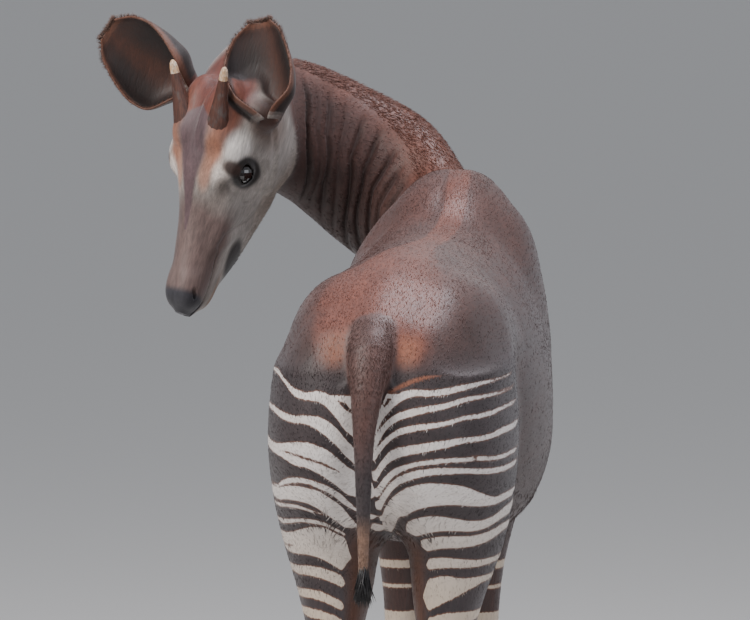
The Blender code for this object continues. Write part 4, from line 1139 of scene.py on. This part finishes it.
def bumped(tree, shader, height, distance, strength=1.0, below=None):
    node = tree.nodes.new("ShaderNodeBump")
    node.inputs["Strength"].default_value = strength
    node.inputs["Distance"].default_value = distance
    link(tree, height, node.inputs["Height"])
    if below is not None:
        link(tree, below, node.inputs["Normal"])
    link(tree, node.outputs[0], shader.inputs["Normal"])
    return node.outputs[0]


FRINGE = (0.150, 0.058, 0.030)
# Grains per metre across and along the hair: fine strands, strands in small clumps, and broad patches.
STRANDS = (520.0, 520.0, 60.0)
CLUMPS = (190.0, 190.0, 26.0)
PATCHES = (22.0, 22.0, 9.0)


def skin_material():
    """Short glossy hair: streaked along its lie, with ragged edges to the white bands."""
    material, tree, shader = shader_tree("hide")
    lie = attribute(tree, "lie", "Vector")
    strands = speckle(tree, lie, STRANDS)
    clumps = speckle(tree, lie, CLUMPS)
    patches = speckle(tree, lie, PATCHES, 3.0)
    ragged = number(tree, "MULTIPLY", number(tree, "SUBTRACT", clumps, 0.5), 0.0055)
    ragged = number(tree, "ADD", ragged, number(tree, "MULTIPLY", number(tree, "SUBTRACT", strands, 0.5), 0.0040))
    inside = number(tree, "ADD", attribute(tree, "band", "Fac"), ragged)
    white = spread(tree, inside, -0.0005, 0.0009)
    fringe = number(tree, "MULTIPLY", spread(tree, inside, -0.0032, -0.0004), 0.75)
    coat = attribute(tree, "coat", "Color")
    shade = spread(tree, patches, 0.30, 0.70, 0.80, 1.22)
    shade = number(tree, "MULTIPLY", shade, spread(tree, clumps, 0.30, 0.70, 0.80, 1.20))
    shade = number(tree, "MULTIPLY", shade, spread(tree, strands, 0.30, 0.70, 0.86, 1.14))
    grey = tree.nodes.new("ShaderNodeCombineColor")
    for socket in grey.inputs:
        link(tree, shade, socket)
    coat = tinted(tree, 1.0, coat, grey.outputs[0], "MULTIPLY")
    coat = tinted(tree, fringe, coat, FRINGE)
    pale = attribute(tree, "pale", "Color")
    worn = number(tree, "MULTIPLY", spread(tree, patches, 0.52, 0.72), 0.28)
    pale = tinted(tree, worn, pale, (0.400, 0.320, 0.270))
    pale = tinted(tree, number(tree, "MULTIPLY", spread(tree, clumps, 0.52, 0.72), 0.45), pale, (0.300, 0.240, 0.215))
    link(tree, tinted(tree, white, coat, pale), shader.inputs["Base Color"])
    gloss = attribute(tree, "gloss", "Fac")
    rough = number(tree, "SUBTRACT", 0.56, number(tree, "MULTIPLY", gloss, 0.15))
    rough = number(tree, "ADD", rough, spread(tree, clumps, 0.30, 0.70, -0.05, 0.07))
    link(tree, rough, shader.inputs["Roughness"])
    shader.inputs["Specular IOR Level"].default_value = 0.42
    shader.inputs["Sheen Weight"].default_value = 0.12
    shader.inputs["Sheen Roughness"].default_value = 0.5
    coarse = bumped(tree, shader, clumps, 0.0010, 0.55)
    bumped(tree, shader, strands, 0.0006, 0.55, coarse)
    return material


def horn_material():
    """Haired horn: brown hair streaked along its length, with greyish blotches."""
    material, tree, shader = shader_tree("horn_hair")
    where = tree.nodes.new("ShaderNodeTexCoord").outputs["Object"]
    streaks = speckle(tree, where, (420.0, 420.0, 50.0))
    blotches = speckle(tree, where, (60.0, 60.0, 40.0))
    colour = tinted(tree, spread(tree, streaks, 0.3, 0.7), (0.034, 0.012, 0.008), (0.085, 0.030, 0.018))
    colour = tinted(tree, spread(tree, blotches, 0.52, 0.68), colour, (0.070, 0.050, 0.045))
    link(tree, colour, shader.inputs["Base Color"])
    shader.inputs["Roughness"].default_value = 0.5
    bumped(tree, shader, streaks, 0.0008, 0.6)
    return material


def tip_material():
    """The polished bare tip, ivory with a tan cast and dirt in its scratches."""
    material, tree, shader = shader_tree("horn_tip")
    where = tree.nodes.new("ShaderNodeTexCoord").outputs["Object"]
    stains = speckle(tree, where, (130.0, 130.0, 70.0), 4.0)
    scratches = speckle(tree, where, (900.0, 900.0, 60.0))
    colour = tinted(tree, spread(tree, stains, 0.42, 0.60), (0.480, 0.300, 0.170), (0.560, 0.460, 0.370))
    dirt = number(tree, "MULTIPLY", spread(tree, scratches, 0.50, 0.68), 0.7)
    colour = tinted(tree, dirt, colour, (0.090, 0.060, 0.045))
    link(tree, colour, shader.inputs["Base Color"])
    shader.inputs["Roughness"].default_value = 0.30
    bumped(tree, shader, scratches, 0.0004, 0.5)
    return material


def eye_material():
    """A wet, nearly black eye with faint brown streaks."""
    material, tree, shader = shader_tree("eye")
    where = tree.nodes.new("ShaderNodeTexCoord").outputs["Object"]
    streaks = speckle(tree, where, (260.0, 260.0, 260.0), 3.0)
    colour = tinted(tree, spread(tree, streaks, 0.45, 0.70), (0.0045, 0.0035, 0.0035), (0.018, 0.008, 0.005))
    link(tree, colour, shader.inputs["Base Color"])
    shader.inputs["Roughness"].default_value = 0.05
    shader.inputs["Coat Weight"].default_value = 1.0
    shader.inputs["Coat Roughness"].default_value = 0.02
    return material


def hoof_material():
    """Dark horn, ringed level with the coronet and scuffed in patches."""
    material, tree, shader = shader_tree("hoof_horn")
    where = tree.nodes.new("ShaderNodeTexCoord").outputs["Object"]
    rings = speckle(tree, where, (14.0, 14.0, 420.0), 3.0)
    scuffs = speckle(tree, where, (160.0, 160.0, 60.0), 4.0)
    colour = tinted(tree, spread(tree, rings, 0.35, 0.65), (0.018, 0.013, 0.011), (0.050, 0.038, 0.031))
    colour = tinted(tree, number(tree, "MULTIPLY", spread(tree, scuffs, 0.55, 0.72), 0.6), colour, (0.130, 0.105, 0.085))
    link(tree, colour, shader.inputs["Base Color"])
    link(tree, spread(tree, scuffs, 0.4, 0.7, 0.38, 0.62), shader.inputs["Roughness"])
    bumped(tree, shader, rings, 0.0007, 0.5)
    return material


def hair_material(name, rough):
    """A tuft's hair: the coat's own colour under it, streaked from root to tip."""
    material, tree, shader = shader_tree(name)
    where = tree.nodes.new("ShaderNodeTexCoord").outputs["Object"]
    grain = speckle(tree, where, (900.0, 900.0, 240.0))
    shade = spread(tree, grain, 0.30, 0.70, 0.75, 1.25)
    grey = tree.nodes.new("ShaderNodeCombineColor")
    for socket in grey.inputs:
        link(tree, shade, socket)
    colour = tinted(tree, 1.0, attribute(tree, "coat", "Color"), grey.outputs[0], "MULTIPLY")
    link(tree, colour, shader.inputs["Base Color"])
    shader.inputs["Roughness"].default_value = rough
    bumped(tree, shader, grain, 0.0004, 0.5)
    return material


# One tuft: points as share of its length, of its half width and of its thickness, then its triangles.
TUFT = (
    (0.0, -1.0, 0.0), (0.0, 1.0, 0.0), (0.0, 0.0, 1.0),
    (0.5, -0.75, 0.0), (0.5, 0.75, 0.0), (0.5, 0.0, 0.8),
    (1.0, 0.0, 0.2),
)
TUFT_FACES = (
    (0, 2, 1), (0, 1, 4), (0, 4, 3), (1, 2, 5), (1, 5, 4), (2, 0, 3), (2, 3, 5), (3, 4, 6), (4, 5, 6), (5, 3, 6),
)
TUFT_ROOT = 0.0006
TUFT_THICKNESS = 0.35
BAKE_PATCH = 0.0015


def unwrapped(points, normals):
    """Each point's place on the skin laid out flat, by the side of the box that it faces."""
    low, high = np.array((-0.75, -0.70, 0.0)), np.array((0.30, 0.87, 1.86))
    share = np.clip((points - low) / (high - low), 0, 1) * 0.94 + 0.03
    axis = np.abs(normals).argmax(axis=1)
    backward = normals[np.arange(len(points)), axis] < 0
    first, second = np.array((1, 0, 0))[axis], np.array((2, 2, 1))[axis]
    rows = np.arange(len(points))
    return np.column_stack(((share[rows, first] + axis) / 3, (share[rows, second] + backward) / 2))


def tufts(name, roots, normals, lie, length, width, lift, colour, material):
    """Flat pointed locks, one closed body each: rooted just under the skin, lying along it and rising by lift."""
    count = len(roots)
    lie = lie - normals * np.sum(lie * normals, axis=1)[:, None]
    lie /= np.maximum(np.linalg.norm(lie, axis=1), 1e-6)[:, None]
    lie += np.cross(normals, lie) * draw.normal(0, 0.16, count)[:, None]
    across = np.cross(lie, normals)
    length = length * draw.uniform(0.7, 1.2, count)
    width = width * draw.uniform(0.7, 1.3, count)
    lift = lift * draw.uniform(0.4, 1.4, count)
    along, sideways, thick = np.transpose(TUFT)
    points = roots[:, None] - normals[:, None] * TUFT_ROOT
    points = points + lie[:, None] * (length[:, None] * along)[..., None]
    points = points + across[:, None] * (width[:, None] / 2 * sideways)[..., None]
    rise = lift[:, None] * along + TUFT_THICKNESS * width[:, None] * thick
    points = points + normals[:, None] * rise[..., None]
    faces = (np.arange(count)[:, None, None] * len(TUFT) + np.array(TUFT_FACES)).reshape(-1, 3)
    piece = mesh_object(name, points.reshape(-1, 3), faces)
    colour = colour * draw.uniform(0.8, 1.2, count)[:, None]
    put(piece, "coat", np.repeat(colour, len(TUFT), axis=0))
    patch_at = np.column_stack((sideways, along * 2 - 1)) * BAKE_PATCH
    flat = (unwrapped(roots, normals)[:, None] + patch_at).reshape(-1, 2)
    layer = piece.data.uv_layers.new(name="OFBake")
    layer.data.foreach_set("uv", flat[faces.ravel()].astype(np.float32).ravel())
    piece.data.materials.append(material)
    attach(piece, "root")
    return piece


# How the coat grows by region: name, tufts, length, width and lift.
COAT = (
    ("coat_crest", 5000, 0.0110, 0.0016, 0.0042),
    ("coat_back", 9000, 0.0100, 0.0016, 0.0012),
    ("coat_flank", 16000, 0.0100, 0.0017, 0.0009),
    ("coat_belly", 6000, 0.0130, 0.0017, 0.0036),
    ("coat_haunch", 12000, 0.0085, 0.0014, 0.0011),
    ("coat_legs", 9000, 0.0075, 0.0013, 0.0010),
    ("coat_coronets", 1800, 0.0110, 0.0014, 0.0020),
    ("coat_neck", 9000, 0.0095, 0.0015, 0.0009),
    ("coat_face", 11000, 0.0042, 0.0009, 0.0005),
    ("coat_jaw", 2500, 0.0075, 0.0011, 0.0026),
    ("coat_tail", 3000, 0.0100, 0.0013, 0.0012),
)


def regions(points, normals):
    """Which region of the coat each point of the skin belongs to, and the way its hair lies."""
    x, y, z = points.T
    distance, share, across, upward = along_neck(points)
    skull_distance = skull(points)
    own = to_head(points)
    head = (skull_distance < distance) & (z > 1.1) & (x < -0.25)
    neck = (distance < 0.012) & ~head & (y + 0.6 * (z - 1.3) > 0.56)
    on_tail = (tail(points) < 0.003) & (y < -0.5)
    on_ear = np.zeros(len(points), bool)
    for _, low, high in EAR_TREES.values():
        on_ear |= np.all((points > low - 0.004) & (points < high + 0.004), axis=1) & (skull_distance > 0.004)
    name = np.full(len(points), "coat_flank", dtype="U16")
    name[(normals[:, 2] > 0.75) & (z > 1.2)] = "coat_back"
    name[(y < -0.16) & (z < 1.2)] = "coat_haunch"
    name[(normals[:, 2] < -0.45) & (z > 0.6)] = "coat_belly"
    name[z < 0.76] = "coat_legs"
    name[z < 0.10] = "coat_coronets"
    name[neck] = "coat_neck"
    name[neck & (upward > 0.105)] = "coat_crest"
    name[head] = "coat_face"
    name[head & (own[:, 1] < -0.105)] = "coat_jaw"
    name[on_tail] = "coat_tail"
    both = np.column_stack((own[:, 0], own[:, 1], np.abs(own[:, 2])))
    by_eye = np.linalg.norm(both - EYE, axis=1) < 0.030
    bare = on_ear | (head & ((own[:, 0] > 0.462) | by_eye))
    name[bare] = ""
    low = 1 - ramp(z, 0.78, 0.98)
    lie = mixed(np.tile((0.0, -0.88, -0.47), (len(points), 1)), (0.0, 0.0, -1.0), low)
    line, runs = NECK_LINE[:, :3], np.gradient(NECK_LINE[:, :3], axis=0)
    nearest = np.clip((share * (len(line) - 1)).astype(int), 0, len(line) - 1)
    lie[neck] = -runs[nearest[neck]] / np.linalg.norm(runs[nearest[neck]], axis=1)[:, None]
    lie[head] = -HEAD_AXES[0] - 0.35 * HEAD_AXES[1]
    lie[on_tail] = (0, 0, -1)
    return name, lie


def coat(points, normals, looks):
    """Tufts over the whole skin, thickest where they show against what is behind them."""
    colour, pale, band, _ = looks
    colour = np.where((band > 0)[:, None], pale * 0.8, colour)
    name, lie = regions(points, normals)
    hair = hair_material("coat_hair", 0.55)
    for region, count, length, width, lift in COAT:
        found = np.nonzero(name == region)[0]
        count = min(count // (1), len(found))
        chosen = draw.choice(found, count, replace=False)
        wander = draw.normal(0, 0.0012, (count, 3))
        out = normals[chosen]
        wander -= out * np.sum(wander * out, axis=1)[:, None]
        tufts(region, points[chosen] + wander, out, lie[chosen], length, width, lift, colour[chosen], hair)
    return hair


EAR_HAIRS = 2600
EAR_HAIR_LENGTH = 0.0085
PALE_HAIR = (0.230, 0.150, 0.120)


def ear_hair(hair):
    """Fine fringes round the ears' rims, paler and longer at their tips."""
    for side in SIDES:
        rings = ear_sheet(side)
        rims = np.concatenate((rings[2:, 0], rings[2:, -1], rings[-1, :]))
        shares = np.concatenate((np.linspace(0.05, 1, EAR_RINGS - 2),) * 2 + (np.ones(EAR_STRIPS),))
        along, facing = unit(EARS[side][1]), unit(EARS[side][2])
        middles = np.concatenate((rings[2:].mean(1), rings[2:].mean(1), np.tile(rings[-1].mean(0), (EAR_STRIPS, 1))))
        chosen = draw.integers(0, len(rims), EAR_HAIRS)
        outwards = rims[chosen] - middles[chosen]
        outwards /= np.maximum(np.linalg.norm(outwards, axis=1), 1e-6)[:, None]
        lie = outwards * 0.7 + along * 0.9 + draw.normal(0, 0.2, (EAR_HAIRS, 3))
        facings = np.tile(facing, (EAR_HAIRS, 1)) + draw.normal(0, 0.4, (EAR_HAIRS, 3))
        facings /= np.linalg.norm(facings, axis=1)[:, None]
        roots = rims[chosen] - outwards * 0.002 + draw.normal(0, 0.0012, (EAR_HAIRS, 3))
        tip = shares[chosen] ** 3
        colour = mixed(np.tile(EAR_FRINGE, (EAR_HAIRS, 1)), PALE_HAIR, tip * draw.uniform(0, 1, EAR_HAIRS))
        colour = mixed(colour, EAR_INSIDE, draw.uniform(0, 0.9, EAR_HAIRS))
        length = EAR_HAIR_LENGTH * (0.7 + 0.7 * tip)
        tufts(f"coat_ear_{side}", roots, facings, lie, length, 0.0008, 0.0005, colour, hair)


LASHES = 70
TAIL_LOCKS = 420


def lashes(hair):
    """Dark lashes along the upper lid of each eye."""
    facing = unit(EYE_FACING)
    along = unit(np.cross(facing, (0.45, 1.0, 0.0)))
    above = np.cross(along, facing)
    for side, sign in SIDES.items():
        angle = draw.uniform(0.1 * np.pi, 0.9 * np.pi, LASHES)
        half_length, half_height = EYE_OPENING
        rim = np.outer(np.cos(angle) * half_length, along) + np.outer(np.sin(angle) * half_height, above)
        outwards = rim / np.linalg.norm(rim, axis=1)[:, None]
        depth = np.sqrt((EYE_RADIUS + 0.002) ** 2 - np.sum(rim**2, axis=1))
        turn = (1, 1, sign)
        roots = from_head((EYE + rim + np.outer(depth, facing)) * turn)
        lie = ((outwards * 0.5 + facing) * turn) @ HEAD_AXES
        out = (np.cross(outwards, np.cross(facing, outwards)) * 0.3 - outwards) * turn @ HEAD_AXES
        colour = np.tile(NEARLY_BLACK, (LASHES, 1))
        tufts(f"coat_lashes_{side}", roots, out, lie, 0.0090, 0.0006, 0.0, colour, hair)


def tail_tuft(hair):
    """The black tuft: long flat locks that leave the end of the tail and hang together."""
    end = np.array(TAIL[-1][:3])
    angle = draw.uniform(0, 2 * np.pi, TAIL_LOCKS)
    out = np.column_stack((np.cos(angle), np.sin(angle), np.zeros(TAIL_LOCKS)))
    depth = draw.uniform(0, 1, TAIL_LOCKS)
    roots = end + out * (0.0085 * np.sqrt(draw.uniform(0.1, 1, TAIL_LOCKS)))[:, None]
    roots[:, 2] += 0.012 - 0.030 * depth
    lie = np.tile((0.0, 0.0, -1.0), (TAIL_LOCKS, 1))
    length = 0.050 + 0.012 * (1 - depth)
    colour = np.tile((0.011, 0.0095, 0.0105), (TAIL_LOCKS, 1))
    hanging = tufts("tail_hair", roots, out, lie, length, 0.0042, 0.0055, colour, hair)
    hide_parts("tail_tuft")


def dressed(node, material):
    """Gives a solid that is kept its finish."""
    thing = bpy.data.objects[node]
    for slot in thing.material_slots:
        slot.material = material


def kept_solids():
    hair_horn, bare, eye, hoof = horn_material(), tip_material(), eye_material(), hoof_material()
    for side in SIDES:
        dressed(f"horn_{side}", hair_horn)
        dressed(f"horn_tip_{side}", bare)
        dressed(f"eye_{side}", eye)
        for foot in FEET:
            for claw in ("inner", "outer"):
                dressed(f"{foot}_hoof_{side}_{claw}", hoof)


FLESH_NODES = (
    "torso", "neck_lower", "neck_upper", "head", "ear_left", "ear_right", "tail",
    "fore_leg_left", "fore_leg_right", "fore_cannon_left", "fore_cannon_right",
    "hind_leg_left", "hind_leg_right", "hind_cannon_left", "hind_cannon_right",
)


# The camera, from the photograph's perspective: seen from behind and a little to the right, far off.
AZIMUTH = 7.411
ELEVATION = 6.025
DISTANCE = 14.0
AIMED_AT = (0.0, 0.2, 1.1)
PICTURE = (750, 620)
SENSOR = 36.0
PIXELS_PER_METRE = 500.26
MIDDLE_PIXEL = (432.3, 379.5)


def camera():
    azimuth, elevation = np.radians((AZIMUTH, ELEVATION))
    back = np.array((
        np.sin(azimuth) * np.cos(elevation),
        -np.cos(azimuth) * np.cos(elevation),
        np.sin(elevation),
    ))
    data = bpy.data.cameras.new("camera")
    data.sensor_width = SENSOR
    data.lens = PIXELS_PER_METRE * DISTANCE * SENSOR / PICTURE[0]
    data.shift_x = (PICTURE[0] / 2 - MIDDLE_PIXEL[0]) / PICTURE[0]
    data.shift_y = (MIDDLE_PIXEL[1] - PICTURE[1] / 2) / PICTURE[0]
    data.clip_end = 100
    seer = bpy.data.objects.new("camera", data)
    bpy.context.scene.collection.objects.link(seer)
    seer.location = np.asarray(AIMED_AT) + SHIFT + back * DISTANCE
    seer.rotation_mode = "QUATERNION"
    seer.rotation_quaternion = Vector(-back).to_track_quat("-Z", "Y")
    bpy.context.scene.camera = seer


def lamp(name, place, aim, size, power, colour):
    data = bpy.data.lights.new(name, "AREA")
    data.shape = "DISK"
    data.size = size
    data.energy = power
    data.color = colour
    thing = bpy.data.objects.new(name, data)
    bpy.context.scene.collection.objects.link(thing)
    thing.location = place
    thing.rotation_mode = "QUATERNION"
    thing.rotation_quaternion = (Vector(aim) - Vector(place)).to_track_quat("-Z", "Y")


def stage():
    """A pale floor that reaches past every view, soft lamps and an even sky."""
    half = 40.0
    points = np.array([(-half, -half, 0), (half, -half, 0), (half, half, 0), (-half, half, 0)]) - SHIFT
    floor = mesh_object("floor", points, [(0, 1, 2, 3)])
    material, _, shader = shader_tree("floor")
    shader.inputs["Base Color"].default_value = (0.62, 0.61, 0.59, 1)
    shader.inputs["Roughness"].default_value = 0.9
    floor.data.materials.append(material)
    world = bpy.data.worlds.new("sky")
    world.use_nodes = True
    world.node_tree.nodes["Background"].inputs["Color"].default_value = (0.80, 0.83, 0.90, 1)
    world.node_tree.nodes["Background"].inputs["Strength"].default_value = 0.55
    bpy.context.scene.world = world
    lamp("key", (-2.2, -2.6, 4.2), (0.0, 0.0, 1.1), 2.2, 250, (1.0, 0.96, 0.92))
    lamp("fill", (3.0, -3.0, 2.0), (0.0, 0.0, 1.0), 3.0, 50, (0.92, 0.95, 1.0))
    lamp("top", (1.0, 0.6, 4.6), (0.0, 0.0, 1.2), 2.6, 150, (0.93, 0.92, 1.0))


def main():
    camera()
    stage()
    skin, points, normals, looks = build_skin()
    skin.data.materials.append(skin_material())
    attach(skin, "root")
    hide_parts(*FLESH_NODES)
    hair = coat(points, normals, looks)
    ear_hair(hair)
    lashes(hair)
    tail_tuft(hair_material("tail_hair", 0.45))
    kept_solids()


main()
